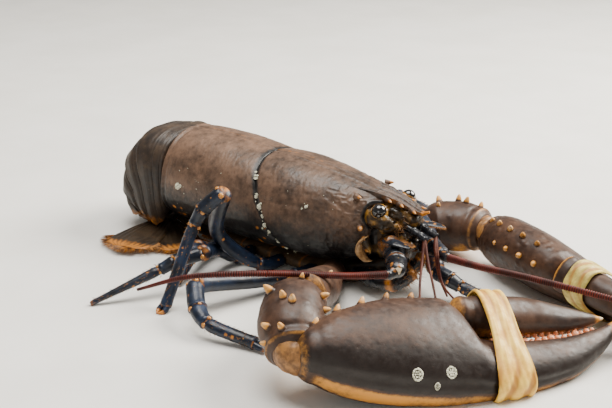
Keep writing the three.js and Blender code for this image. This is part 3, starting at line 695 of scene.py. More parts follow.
def band_material(name, light, shade):
    """Creased rubber, with painted shade in its creases: they are darkened towards brown."""
    material, nodes, shader, link = new_material(name)
    where = nodes.add("ShaderNodeTexCoord").outputs["Object"]
    cloud = nodes.noise(where, 5, 4.0, 0.6)
    rubber = nodes.mix(nodes.band(cloud, 0.35, 0.7), light, colour(shade))
    # Painted shade: the rubber is darkened towards brown where the dark mark lies, deepest in the creases.
    shaded_rubber = nodes.mix(nodes.band(mark_value(nodes, "dark"), 0.15, 0.9, 0.0, 0.8), rubber, colour(0xA0641A))
    link(shaded_rubber, shader.inputs["Base Color"])
    link(nodes.band(cloud, 0.3, 0.7, 0.42, 0.6), shader.inputs["Roughness"])
    grain = nodes.noise(where, 0.8, 3.0)
    nodes.roughen(shader, grain, 0.25, 0.1)
    shader.inputs["Subsurface Weight"].default_value = 0.08
    shader.inputs["Subsurface Radius"].default_value = (0.002, 0.0014, 0.0007)
    return material


def make_materials(look):
    """Every material of the lobster, with the colours of the settings."""
    groups = {"mottling": mottling_group(), "tint": tint_group()}
    amber = tuple(look.amber)
    return {
        "carapace": shell_material("carapace shell", groups, tuple(look.shell_dark), tuple(look.shell_light),
                                   amber,
                                   0.5, 0.2, 0.42, bump=0.35),
        "thorax": shell_material("thorax shell", groups, tuple(look.shell_dark), tuple(look.shell_light),
                                 amber,
                                 0.56, 0.25, 0.46, bump=0.35),
        "tail": shell_material("tail shell", groups, colour(0x181210), colour(0x4C3B2B), amber, 0.46, 0.25,
                               0.5),
        "claw": shell_material("claw shell", groups, tuple(look.claw_dark), tuple(look.claw_light),
                               colour(0xCC8C38),
                               0.5, 0.12, 0.45, coat=0.04, bump=0.3, deep=0x1A100B),
        "leg": shell_material("leg shell", groups, tuple(look.leg_dark), tuple(look.leg_light), amber,
                              0.46, 1.0, 0.36, coat=0.15, fleck=0xB9803C),
        "feeler_base": shell_material("feeler base shell", groups, colour(0x080A10), colour(0x263040), amber,
                                      0.42, 0.5, 0.3, coat=0.3, fleck=0xC09350),
        # Painted shade: the fan's colours are made darker to stand in for the shade on its blades.
        "fan": shell_material("fan shell", groups, colour(0x120D0A), colour(0x40311F), amber, 0.5, 0.3, 0.45),
        "face": shell_material("face skin", groups, colour(0x0C0805), colour(0x5A421E), colour(0x946A24),
                               0.46, 0.6, 0.4,
                               coat=0.25, bump=0.6),
        # Painted shade: the belly's colours are made dark brown to stand in for the shade under the body; its
        # own colour is paler.
        "belly": shell_material("belly skin", groups, colour(0x2A1E14), colour(0x6E5538), amber, 0.5, 0.2,
                                0.5,
                                coat=0.05),
        "membrane": plain_material("joint skin", 0xA06E36, 0x6A4622, 3.0, 0.5, 0.5, bump_size=1.2),
        "amber": plain_material("joint knobs", 0xD0903C, 0x9A5A22, 1.2, 0.34, 0.2, 0.2),
        "stalk": plain_material("eye stalk skin", 0xC48C34, 0x38220C, 1.5, 0.32, 0.3, 0.3),
        "eye": plain_material("eye glass", 0x020202, 0x050506, 2.0, 0.05, 0.0, 1.0),
        "bristle": plain_material("bristles", 0xB0742F, 0x4A2C14, 2.5, 0.5, 0.0),
        "tooth": plain_material("claw teeth", 0xE09468, 0xB5602E, 1.5, 0.4, 0.1, 0.2),
        "chalk": plain_material("chalky worm tubes", 0xE6E2CC, 0xA3A48A, 0.8, 0.7, 0.6, bump_size=0.3),
        "plate": plain_material("face plates", 0xC29A6A, 0x7A5630, 3.0, 0.36, 0.3, 0.2),
        "whip": whip_material("feeler rings", tuple(look.whip)),
        "feeleret": whip_material("feeleret rings", colour(0x5E2810)),
        "band_right": band_material("band rubber cream", tuple(look.band_right), 0xD6A038),
        "band_left": band_material("band rubber greenish", tuple(look.band_left), 0xA8954A),
    }


# Carapace

def shell_grid(stations, rings, count):
    """The rings of one shield of the carapace."""
    xs, tops, bottoms, halves, leans = np.array(stations).T
    at = np.linspace(xs[0], xs[-1], rings)
    across, up = oval(count, 0.86)
    grid = []
    for x, top, bottom, half, lean in zip(
        at, spread(xs, tops, at), spread(xs, bottoms, at), spread(xs, halves, at), spread(xs, leans, at)
    ):
        widest = bottom + 0.36 * (top - bottom)
        z = widest + up * np.where(up > 0, top - widest, widest - bottom)
        narrow = np.where(up < 0, 1 + 0.16 * up, 1)
        grid.append(np.stack([x + lean * (top - z), across * half * narrow, z], axis=1))
    return np.array(grid)


def shell_skin(p):
    """Fine relief that every part of the carapace has."""
    relief = 0.08 * layered(p, 9, 3) + 0.06 * layered(p * np.array([1.7, 1.0, 1.0]), 1.8, 9, 2)
    pits = smooth_step(0.34, 0.1, grains(p, 2.6, 5))
    return relief - 0.09 * pits


def eye_distance(p):
    y = np.abs(p[..., 1])
    return np.sqrt((p[..., 0] + 16.9) ** 2 + (y - 13.2) ** 2 + (p[..., 2] - 39.2) ** 2)


def head_relief(p):
    x, y, z = p[..., 0], np.abs(p[..., 1]), p[..., 2]
    relief = shell_skin(p)
    near_eye = smooth_step(33, 4, np.sqrt((x + 27) ** 2 + 0.6 * (z - 31) ** 2)) * smooth_step(6, 12, y)
    folds = 1 - np.abs(noise(p * np.array([1.0, 1.0, 1.9]), 2.7, 21)) * 2.2
    relief = relief + near_eye * (0.46 * np.maximum(folds, 0) - 0.12)
    side_groove = bell(z, 37.5 + 0.03 * (x + 60), 1.0) * smooth_step(-80, -72, x) * smooth_step(-38, -46, x)
    relief = relief - 0.42 * side_groove * smooth_step(10, 16, y)
    jaw_groove = bell(z, 23 + 0.42 * (x + 58), 1.4) * smooth_step(-80, -70, x) * smooth_step(-40, -50, x)
    relief = relief - 0.4 * jaw_groove * smooth_step(14, 20, y)
    top = smooth_step(6, 9, z - 40)
    relief = relief + top * (0.4 * bell(y, 2.6, 0.9) - 0.3 * bell(y, 0, 1.0))
    relief = relief + 0.7 * bell(eye_distance(p), SOCKET_RADIUS + 1.3, 1.0)
    swell = bell(z, 30, 9) * bell(x, -60, 16) * smooth_step(12, 22, y)
    margin = bell(x + 0.16 * (46.2 - z), -20.8, 0.8) * 0.5
    return relief + 0.35 * swell + margin * smooth_step(38, 30, z)


def socket_cut(obj):
    """Cuts the two eye sockets out of the head shield."""
    for _, y in SIDES:
        bpy.ops.mesh.primitive_uv_sphere_add(segments=96, ring_count=64, radius=SOCKET_RADIUS * MM)
        ball = bpy.context.object
        centre = place([EYE[0] + 0.6, y * (EYE[1] + 1.2), EYE[2] - 1.4])
        ball.data.transform(Matrix.Translation(Vector(centre)))
        cut = obj.modifiers.new("socket", "BOOLEAN")
        cut.object = ball
        cut.operation = "DIFFERENCE"
        cut.solver = "EXACT"
        made = bpy.data.meshes.new_from_object(obj.evaluated_get(bpy.context.evaluated_depsgraph_get()))
        obj.modifiers.remove(cut)
        obj.data = made
        bpy.data.objects.remove(ball)


def beak_line(x):
    """Height, half width and thickness of the beak at a place along it."""
    xs, z, half, thick = np.array(BEAK).T
    return spread(xs, z, x), spread(xs, half, x), spread(xs, thick, x)


def add_beak(skin):
    at = np.concatenate([np.linspace(-39.6, -2, 110), np.linspace(-1.8, 1.1, 16)])
    across, up = oval(120, 0.9)
    z, half, thick = beak_line(at)
    grid, warm, pale, dark = [], [], [], []
    for x, h, w, t in zip(at, z, half, thick):
        side = across * w
        top = up > 0
        height = h + up * t * np.where(top, 0.55, 0.8) + np.where(top, 0.5 * t * np.abs(across) ** 3, 0)
        wave = np.cos(side * 3.1)
        furrow = 0.2 * wave * smooth_step(0.5, 2.0, w) + 0.4 * bell(side, 0, 0.5)
        height = height + np.where(top, furrow * smooth_step(1.0, 0.8, np.abs(across)), 0)
        grid.append(np.stack([np.full_like(side, x), side, height], axis=1))
        edge = 0.3 * smooth_step(0.94, 1.0, np.abs(across))
        warm.append(np.maximum(edge * smooth_step(-24, -18, x), 0.95 * smooth_step(-3.4, -1.2, x) + 0 * side))
        lines = (np.where(top, smooth_step(0.5, 1.0, wave), 0) * smooth_step(-36, -26, x)
                 * smooth_step(-3, -8, x))
        pale.append(0.12 * lines)
        dark.append(0.36 - 0.2 * wave)
    grid = np.array(grid)
    skin.grid(lifted(grid, 0.14 * layered(grid, 1.4, 31)), warm=np.array(warm), pale=np.array(pale),
              dark=np.array(dark))


# Spines along the beak: place and length. Spines of the cheek: root and aim on the left side,
# length, radius, sides, rings, curl and bluntness.
BEAK_SPINES = ((-17.4, 3.0), (-11.8, 3.2), (-6.0, 3.6))
CHEEK_SPINES = (
    ((-29, 12.4, 45.0), (1, 0.3, 0.3), 2.8, 1.3, 10, 7, 0.15, 0.4),
    ((-25.2, 15.6, 32.0), (0.8, 0.8, 0.1), 3.2, 1.9, 16, 10, 0.0, 0.4),
    ((-23.6, 15.2, 27.6), (0.8, 0.8, -0.1), 2.6, 1.5, 14, 9, 0.0, 0.6),
    ((-22.4, 14.4, 22.0), (1, 0.3, -0.2), 2.2, 1.5, 14, 9, 0.0, 0.8),
)


def on_side(point, y):
    """A point or an aim of the left side, on the side that y gives."""
    return (point[0], y * point[1], point[2])


def head_spines(skin):
    for _, y in SIDES:
        for x, length in BEAK_SPINES:
            half = float(beak_line(x)[1])
            height = float(beak_line(x)[0])
            skin.spine((x, y * half, height + 0.3), (0.95, 0.5 * y, 0.1), length, 1.2, curl=0.14, blunt=0.35)
        for root, aim, length, radius, sides, rings, curl, blunt in CHEEK_SPINES:
            skin.spine(on_side(root, y), on_side(aim, y), length, radius, sides, rings, curl, blunt)


def build_head(materials):
    grid = shell_grid(HEAD, 170, 300)
    relief = head_relief(grid)
    x, y, z = grid[..., 0], np.abs(grid[..., 1]), grid[..., 2]
    from_neck = np.linspace(0, HEAD[-1][0] - HEAD[0][0], len(grid))[:, None] + 0 * x
    warm = (0.3 * bell(y, 1.6, 0.7) * smooth_step(46, 50, z) * smooth_step(-50, -60, x)
            * (noise(grid, 3, 8) > -0.3))
    warm = np.maximum(warm, 0.4 * smooth_step(-22.5, -20.3, x + 0.16 * (46.2 - z)) * smooth_step(32, 24, z))
    warm = np.maximum(warm, 0.3 * smooth_step(10.5, 8.8, z))
    dark = 0.8 * bell(eye_distance(grid), SOCKET_RADIUS + 0.6, 1.2)
    # Painted shade: the lower sides are darkened towards the floor, and a strip along the neck groove is
    # darkened.
    low = 0.8 * smooth_step(38, 18, z)
    dark = np.maximum(dark, np.maximum(low, 0.85 * bell(from_neck, 0, 2.0)))
    shield = Skin()
    shield.grid(lifted(grid, relief), warm=warm, dark=dark)
    obj = shield.build("head_shield", materials["carapace"], slot="carapace")
    socket_cut(obj)
    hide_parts("carapace_head")
    beak = Skin()
    add_beak(beak)
    beak.shell("beak", materials["carapace"], (), "carapace")
    spines = Skin()
    head_spines(spines)
    spines.shell("head_spines", materials["carapace"], (), "carapace")


def build_thorax(materials):
    grid = shell_grid(THORAX, 190, 280)
    x, y, z = grid[..., 0], np.abs(grid[..., 1]), grid[..., 2]
    relief = shell_skin(grid)
    top = smooth_step(46, 52, z)
    relief = relief - 0.45 * top * bell(y, 0, 0.8) + 0.2 * top * bell(y, 2.2, 1.0)
    relief = relief + 0.5 * bell(x, -141, 0.9) - 0.4 * bell(x, -138.6, 0.9)
    branch = bell(z, 42 - 0.05 * (x + 120), 1.3) * smooth_step(-134, -126, x) * smooth_step(12, 18, y)
    relief = relief - 0.22 * branch
    relief = relief + 0.3 * bell(z, 12, 1.6) - 0.25 * bell(z, 14.8, 1.2)
    to_neck = np.linspace(THORAX[-1][0] - THORAX[0][0], 0, len(grid))[:, None] + 0 * x
    warm = (0.26 * bell(y, 1.8, 0.8) * smooth_step(50, 54, z) * smooth_step(-138, -132, x)
            * (noise(grid, 3, 8) > -0.3))
    warm = np.maximum(warm, 0.3 * smooth_step(11.5, 8.6, z))
    dots = (smooth_step(0.3, 0.16, grains(grid, 5.2, 78)) * smooth_step(30, 20, z)
            * (noise(grid, 11, 79) > 0.15))
    warm = np.maximum(warm, 0.7 * dots)
    # Painted shade: the lower sides are darkened towards the floor, and a strip by the neck groove is
    # darkened.
    dark = np.maximum(0.8 * smooth_step(42, 20, z), 0.85 * bell(to_neck, 0, 2.0))
    shield = Skin()
    shield.grid(lifted(grid, relief), warm=warm, dark=dark)
    shield.shell("thorax_shield", materials["thorax"], ("carapace_thorax",), "carapace")


# Tail

def tail_profile(t):
    """The six numbers of the bound at a place along the tail."""
    a = np.array(TAIL_BOUNDS)
    k = min(int(t), len(a) - 2)
    w = t - k
    return a[k] + (a[k + 1] - a[k]) * w


def tail_ring_points(bound, count):
    back_x, back_z, belly_x, belly_z, half, flap = bound
    along = np.array([back_x - belly_x, back_z - belly_z])
    height = np.linalg.norm(along)
    along = along / height
    across, up = oval(count, 0.72)
    level = np.where(up > 0, 0.3 + 0.7 * up, 0.3 + 0.3 * up)
    side = np.clip((np.abs(across) - 0.55) / 0.3, 0, 1)
    hang = np.where(up < 0, flap * side * np.minimum(1, -1.4 * up), 0)
    reach = level * height
    return np.stack([belly_x + along[0] * reach, across * half, belly_z + along[1] * reach - hang], axis=1)


def build_tail(materials):
    for i in range(6):
        shares = np.concatenate([np.linspace(0.03, 0.14, 8), np.linspace(0.16, 0.9, 30),
                                 np.linspace(0.91, 0.97, 6)])
        grid = []
        for t in shares:
            bound = tail_profile(i + t).copy()
            tuck = float(np.interp(t, (0.03, 0.14, 0.3, 0.9, 0.97), (1.6, 0.45, 0.0, 0.0, 0.6)))
            swell = float(np.interp(t, (0.03, 0.14, 0.5, 0.86, 0.97), (0.0, 0.0, 0.7, 0.5, 0.0)))
            pull = tuck / 30
            bound[0] += (bound[2] - bound[0]) * pull
            bound[1] += (bound[3] - bound[1]) * pull
            bound[4] += swell - tuck
            bound[5] += float(np.interp(t, (0.03, 0.14, 0.5, 0.86, 0.97), (-0.3, 0.0, 1.4, 0.4, -0.3)))
            grid.append(tail_ring_points(bound, 220))
        grid = np.array(grid)
        t = np.broadcast_to(shares[:, None], grid.shape[:2])
        relief = 0.1 * layered(grid, 6, 11 + i) - 0.08 * smooth_step(0.34, 0.1, grains(grid, 2.4, i))
        relief = relief - 0.2 * bell(t, 0.27, 0.06) + 0.2 * bell(t, 0.9, 0.05)
        z = grid[..., 2]
        warm = (0.24 * bell(t, 0.93, 0.04) + 0.4 * smooth_step(0.6, 1.0, np.abs(grid[..., 1]) / 24)
                * smooth_step(13, 7, z))
        warm = warm + 0.5 * smooth_step(0.2, 0.1, grains(grid, 7, 40 + i)) * smooth_step(20, 14, z)
        skin = Skin()
        raised = lifted(grid, relief)
        raised[..., 2] = np.maximum(raised[..., 2], 0.1)
        # Painted shade: the front of each plate, where it slides under the plate before, is darkened.
        skin.grid(raised, warm=np.minimum(warm, 0.8), dark=0.4 * smooth_step(0.1, 0.0, t - 0.03))
        skin.shell(f"tail_plate_{i + 1}", materials["tail"], (f"tail_ring_{i + 1}",), "tail")


def blade_frame(heading):
    along = np.array([math.cos(heading), math.sin(heading), 0.0])
    across = np.array([-math.sin(heading), math.cos(heading), 0.0])
    return along, across


BLADE_WIDTHS = ((0.0, 0.12, 0.45, 0.75, 0.92, 1.0), (0.36, 0.5, 0.86, 1.0, 0.86, 0.52))


def build_fan(materials):
    roots, aims, sizes = [], [], []
    for name, _, heading, length, half, thick, x, y, z in FAN:
        along, across = blade_frame(heading)
        shares = np.concatenate([np.linspace(0, 0.9, 46), np.linspace(0.915, 1, 12)])
        widths = spread(*BLADE_WIDTHS, shares)
        side, up = oval(120, 0.75)
        grid = []
        for t, w in zip(shares, widths):
            middle = np.array([x, y, z]) + along * t * length
            rise = up * thick * (1 - 0.5 * t * t)
            keel = (np.where(up > 0, 0.45 * bell(side, 0, 0.12) + 0.16 * np.cos(side * half * 2.2), 0)
                    * (1 - t**4))
            grid.append(middle + np.outer(side * half * w, across) + np.outer(rise + keel, (0, 0, 1)))
        grid = np.array(grid)
        t = np.broadcast_to(shares[:, None], grid.shape[:2])
        warm = 0.85 * smooth_step(0.76, 0.96, t) + 0.35 * smooth_step(0.86, 1, np.abs(side))[None, :]
        warm = warm * (0.8 + 0.3 * np.cos(side * half * 2.2))[None, :]
        skin = Skin()
        skin.grid(lifted(grid, 0.05 * layered(grid, 2, 5)), warm=np.minimum(warm, 0.9))
        skin.shell(f"{name}_blade", materials["fan"], (name,), "fan")
        for s in np.linspace(-1, 1, 260):
            t = 1 - 0.3 * abs(s) ** 3
            w = float(spread(*BLADE_WIDTHS, t))
            edge = (np.array([x, y, z]) + along * t * length + across * np.sign(s) * min(abs(s) * 1.25, 1)
                    * half * w)
            roots.append(edge)
            aims.append(along * (1.1 - 0.7 * abs(s)) + across * 0.8 * s + np.array([0, 0, -0.05]))
            sizes.append(5.6 if name != "telson" else 3.4)
    return bristles("fan_fringe", roots, aims, sizes, 2.6, materials["bristle"], "fan", seed=5,
                    spread_angle=0.12)


# Geometry Nodes: bristles, knobs and ringed feelers

def node_tree(name, inputs):
    tree = bpy.data.node_groups.new(name, "GeometryNodeTree")
    tree.interface.new_socket("Geometry", in_out="INPUT", socket_type="NodeSocketGeometry")
    tree.interface.new_socket("Geometry", in_out="OUTPUT", socket_type="NodeSocketGeometry")
    for socket, kind, value in inputs:
        made = tree.interface.new_socket(socket, in_out="INPUT", socket_type=kind)
        if value is not None:
            made.default_value = value
    nodes = Nodes(tree)
    return nodes, nodes.add("NodeGroupInput").outputs, nodes.add("NodeGroupOutput")


def attribute(nodes, name, kind="FLOAT"):
    node = nodes.add("GeometryNodeInputNamedAttribute", {"Name": name}, data_type=kind)
    return node.outputs["Attribute"]


def scatter_tree():
    """Grows one thin spike or knob from each point, along the point's aim."""
    nodes, given, out = node_tree(
        "Spikes on points",
        (
            ("Width", "NodeSocketFloat", 0.0003),
            ("Tip width", "NodeSocketFloat", 0.0),
            ("Sides", "NodeSocketInt", 4),
            ("Lean", "NodeSocketFloat", 0.1),
            ("Seed", "NodeSocketInt", 1),
            ("Material", "NodeSocketMaterial", None),
        ),
    )
    points = nodes.add("GeometryNodeMeshToPoints", {"Mesh": given["Geometry"]})
    cone = nodes.add(
        "GeometryNodeMeshCone",
        {"Vertices": given["Sides"], "Side Segments": 3, "Radius Top": given["Tip width"],
         "Radius Bottom": given["Width"], "Depth": 1.0},
        fill_type="TRIANGLE_FAN",
    )
    turn = nodes.add(
        "FunctionNodeAlignEulerToVector", {"Vector": attribute(nodes, "aim", "FLOAT_VECTOR")}, axis="Z"
    )
    negative = nodes.math("MULTIPLY", given["Lean"], -1)
    low = nodes.add("ShaderNodeCombineXYZ", {"X": negative, "Y": negative, "Z": 0.0})
    high = nodes.add("ShaderNodeCombineXYZ", {"X": given["Lean"], "Y": given["Lean"], "Z": 0.0})
    random = nodes.add(
        "FunctionNodeRandomValue",
        {0: low.outputs[0], 1: high.outputs[0], "Seed": given["Seed"]},
        data_type="FLOAT_VECTOR",
    )
    both = nodes.add(
        "FunctionNodeRotateEuler",
        {"Rotation": turn.outputs[0], "Rotate By": random.outputs[0]},
        rotation_type="EULER",
        space="LOCAL",
    )
    size = attribute(nodes, "size")
    scale = nodes.add("ShaderNodeCombineXYZ", {"X": 1.0, "Y": 1.0, "Z": size})
    spikes = nodes.add(
        "GeometryNodeInstanceOnPoints",
        {"Points": points.outputs[0], "Instance": cone.outputs["Mesh"], "Rotation": both.outputs[0],
         "Scale": scale.outputs[0]},
    )
    real = nodes.add("GeometryNodeRealizeInstances", {"Geometry": spikes.outputs[0]})
    nodes.paint(real.outputs[0], given, out)
    return nodes.tree


def knob_tree():
    """Sets a small flattened bead on each point, along the point's aim."""
    nodes, given, out = node_tree(
        "Beads on points",
        (
            ("Flatness", "NodeSocketFloat", 0.6),
            ("Sides", "NodeSocketInt", 8),
            ("Seed", "NodeSocketInt", 1),
            ("Material", "NodeSocketMaterial", None),
        ),
    )
    points = nodes.add("GeometryNodeMeshToPoints", {"Mesh": given["Geometry"]})
    ball = nodes.add("GeometryNodeMeshUVSphere", {"Segments": given["Sides"], "Rings": 6, "Radius": 1.0})
    turn = nodes.add(
        "FunctionNodeAlignEulerToVector", {"Vector": attribute(nodes, "aim", "FLOAT_VECTOR")}, axis="Z"
    )
    random = nodes.add(
        "FunctionNodeRandomValue", {2: 0.75, 3: 1.25, "Seed": given["Seed"]}, data_type="FLOAT"
    )
    size = nodes.math("MULTIPLY", attribute(nodes, "size"), random.outputs[1])
    scale = nodes.add(
        "ShaderNodeCombineXYZ", {"X": size, "Y": size, "Z": nodes.math("MULTIPLY", size, given["Flatness"])}
    )
    beads = nodes.add(
        "GeometryNodeInstanceOnPoints",
        {"Points": points.outputs[0], "Instance": ball.outputs["Mesh"], "Rotation": turn.outputs[0],
         "Scale": scale.outputs[0]},
    )
    real = nodes.add("GeometryNodeRealizeInstances", {"Geometry": beads.outputs[0]})
    smooth = nodes.add("GeometryNodeSetShadeSmooth", {"Geometry": real.outputs[0]})
    nodes.paint(smooth.outputs[0], given, out)
    return nodes.tree


def feeler_tree():
    """Sweeps a ringed, tapering tube along a path."""
    nodes, given, out = node_tree(
        "Ringed feeler",
        (
            ("Ring pitch", "NodeSocketFloat", 0.0009),
            ("Ring depth", "NodeSocketFloat", 0.12),
            ("Sides", "NodeSocketInt", 14),
            ("Material", "NodeSocketMaterial", None),
        ),
    )
    curve = nodes.add("GeometryNodeMeshToCurve", {"Mesh": given["Geometry"]})
    length = nodes.add("GeometryNodeSplineParameter").outputs["Length"]
    turn = nodes.math("MULTIPLY", nodes.math("DIVIDE", length, given["Ring pitch"]), 2 * math.pi)
    wave = nodes.math("SINE", turn)
    ring = nodes.math("ADD", nodes.math("MULTIPLY", wave, 0.5), 0.5)
    stored = nodes.add(
        "GeometryNodeStoreNamedAttribute",
        {"Geometry": curve.outputs[0], "Name": "ring", "Value": ring},
        data_type="FLOAT",
        domain="POINT",
    )
    share = nodes.math("ADD", nodes.math("MULTIPLY", nodes.math("SUBTRACT", ring, 1.0), given["Ring depth"]),
                       1.0)
    radius = nodes.math("MULTIPLY", attribute(nodes, "thick"), share)
    sized = nodes.add("GeometryNodeSetCurveRadius", {"Curve": stored.outputs[0], "Radius": radius})
    round_line = nodes.add("GeometryNodeCurvePrimitiveCircle", {"Resolution": given["Sides"], "Radius": 1.0})
    swept = nodes.add(
        "GeometryNodeCurveToMesh",
        {"Curve": sized.outputs[0], "Profile Curve": round_line.outputs["Curve"], "Fill Caps": True},
    )
    if "Scale" in swept.inputs:
        nodes.tree.links.new(radius, swept.inputs["Scale"])
    smooth = nodes.add("GeometryNodeSetShadeSmooth", {"Geometry": swept.outputs[0]})
    real = nodes.add("GeometryNodeRealizeInstances", {"Geometry": smooth.outputs[0]})
    nodes.paint(real.outputs[0], given, out)
    return nodes.tree


TREE_MAKERS = {"Spikes on points": scatter_tree, "Beads on points": knob_tree, "Ringed feeler": feeler_tree}


def grown(name, points, edges, values, tree_name, settings, nodes=(), slot=None):
    """Runs a tree on points with attributes and keeps the result as a plain mesh."""
    seed_mesh = bpy.data.meshes.new(name)
    seed_mesh.from_pydata(place(points).tolist(), edges, [])
    for key, value in values.items():
        value = np.asarray(value, np.float32)
        kind = "FLOAT_VECTOR" if value.ndim == 2 else "FLOAT"
        layer = seed_mesh.attributes.new(key, kind, "POINT")
        layer.data.foreach_set("vector" if value.ndim == 2 else "value", value.ravel())
    obj = bpy.data.objects.new(name, seed_mesh)
    bpy.context.scene.collection.objects.link(obj)
    tree = bpy.data.node_groups.get(tree_name) or TREE_MAKERS[tree_name]()
    modifier = obj.modifiers.new("grow", "NODES")
    modifier.node_group = tree
    for item in tree.interface.items_tree:
        if item.item_type == "SOCKET" and item.in_out == "INPUT" and item.name in settings:
            modifier[item.identifier] = settings[item.name]
    bpy.context.view_layer.update()
    made = bpy.data.meshes.new_from_object(obj.evaluated_get(bpy.context.evaluated_depsgraph_get()))
    obj.modifiers.remove(modifier)
    made.name = name
    for vertex in made.vertices:
        vertex.co.z = max(vertex.co.z, FLOOR_GAP * MM)
    obj.data = made
    return finished(obj, nodes, slot)


def bristles(name, roots, aims, sizes, width, material, slot, seed=1, spread_angle=0.15, sides=3):
    """Tapered hairs. The cone's root is sunk into the skin below."""
    aims = np.asarray(aims, float)
    aims = aims / np.linalg.norm(aims, axis=1, keepdims=True)
    thick = width * bpy.context.scene.lobster_sizes.bristle_width
    settings = {"Width": thick, "Tip width": 0.02 * MM, "Sides": sides, "Lean": spread_angle, "Seed": seed,
                "Material": material}
    values = {"aim": aims, "size": np.asarray(sizes) * MM}
    return grown(name, roots, [], values, "Spikes on points", settings, slot=slot)


def beads(name, points, aims, sizes, flatness, material, slot, seed=1, sides=8):
    aims = np.asarray(aims, float)
    aims = aims / np.linalg.norm(aims, axis=1, keepdims=True)
    settings = {"Flatness": flatness, "Sides": sides, "Seed": seed, "Material": material}
    values = {"aim": aims, "size": np.asarray(sizes) * MM}
    return grown(name, points, [], values, "Beads on points", settings, slot=slot)


def ringed(name, points, radii, pitch, depth, material, nodes, slot, sides=14):
    edges = [(k, k + 1) for k in range(len(points) - 1)]
    settings = {"Ring pitch": pitch * MM, "Ring depth": depth, "Sides": sides, "Material": material}
    return grown(name, points, edges, {"thick": np.asarray(radii) * MM}, "Ringed feeler", settings, nodes,
                 slot)


# Eyes, face and feelers

# The tissue that lines the socket below the eye, on the left side
EYE_BOWL = ((-24.5, 8.6, 36.6), (-20, 11, 36.4), (-15, 11.4, 35.8), (-11.6, 9.6, 35.4))
EYE_BOWL_RADII = (4.2, 4.6, 3.9, 2.0)


def build_eyes(materials):
    for name, y in SIDES:
        centre = np.array([EYE[0], y * EYE[1], EYE[2]])
        c, s = oval(72, 1)
        theta = np.linspace(0.04, math.pi - 0.04, 48)
        rings = [centre + EYE_RADIUS * np.stack([np.sin(a) * c, np.sin(a) * s, np.full_like(c, np.cos(a))], 1)
                 for a in theta]
        eye = Skin()
        eye.grid(rings)
        eye.shell(f"eye_glass_{name}", materials["eye"], (f"eye_{name}",), "eye")
        root = np.array([-20.6, y * 6.2, 36.4])
        knee = np.array([-18.6, y * 8.8, 36.8])
        collar = centre + 0.1 * (centre - knee)
        bowl = Skin()
        lining = tube([on_side(p, y) for p in EYE_BOWL], linear_radius(EYE_BOWL_RADII), 60, 64, flat=0.95)
        bowl.grid(lifted(lining, 0.5 * layered(lining, 2.4, 91) + 0.3 * (0.6 - grains(lining, 1.8, 92))),
                  warm=0.5 * smooth_step(-0.4, 0.5, noise(lining, 2.6, 93)),
                  dark=0.8 * smooth_step(-0.05, -0.5, noise(lining, 2.2, 94)))
        bowl.shell(f"eye_bowl_{name}", materials["face"], (), "stalk")
        stalk = Skin()
        grid = tube((root, knee, centre - 0.12 * (centre - knee), collar),
                    lambda t: 3.35 + 0.35 * t - 0.6 * (t > 0.97),
                    60, 64)
        grid = lifted(grid, 0.16 * layered(grid, 1.6, 8) + 0.12 * bell(grid[..., 2], 39.6, 0.6))
        stalk.grid(grid)
        stalk.shell(f"eye_stalk_{name}", materials["stalk"], (f"eyestalk_{name}",), "stalk")


def box_grid(stations, count, power=0.6):
    """Rings of a block: x, low, high and half width."""
    xs, lows, highs, halves = np.array(stations, float).T
    at = np.linspace(xs[0], xs[-1], 60)
    across, up = oval(count, power)
    grid = []
    for x, low, high, half in zip(at, spread(xs, lows, at), spread(xs, highs, at), spread(xs, halves, at)):
        grid.append(np.stack([np.full(count, x), across * half, (low + high) / 2 + up * (high - low) / 2],
                             axis=1))
    return np.array(grid)


# Bodies of the face: place, low edge, high edge and half width
UNDER_BEAK = ((-24, 31, 42, 9.2), (-14, 30, 41.2, 7.6), (-8, 31, 39.4, 5.4), (-4, 33, 37.8, 3))
THROAT = ((-42, 1, 8, 11), (-20, 6, 16.5, 10), (-12, 12, 20, 8))
# Knobs of the face and the pale plate beside the mouth, on the left side
FACE_KNOBS = (
    (((-16, 5, 25), (-10, 6.4, 27), (-6.4, 5.4, 29.4)), (2.2, 2.0, 1.3)),
    (((-15, 2.6, 20), (-8.4, 3.4, 22), (-5.6, 2.2, 25)), (2.0, 1.8, 1.1)),
    (((-17, 9.6, 31), (-12.6, 10, 33), (-9.6, 8.2, 34.8)), (2.0, 1.8, 1.2)),
)
CRESCENT = ((-20.4, 16.2, 29.4), (-23.8, 16.8, 26.2), (-24.6, 16.6, 21.4), (-21.4, 16, 17.8),
            (-18.8, 15.2, 17.4))


def crescent_radius(t):
    return 0.5 + 2.7 * math.sin(math.pi * min(max(t, 0.02), 0.98)) ** 1.3


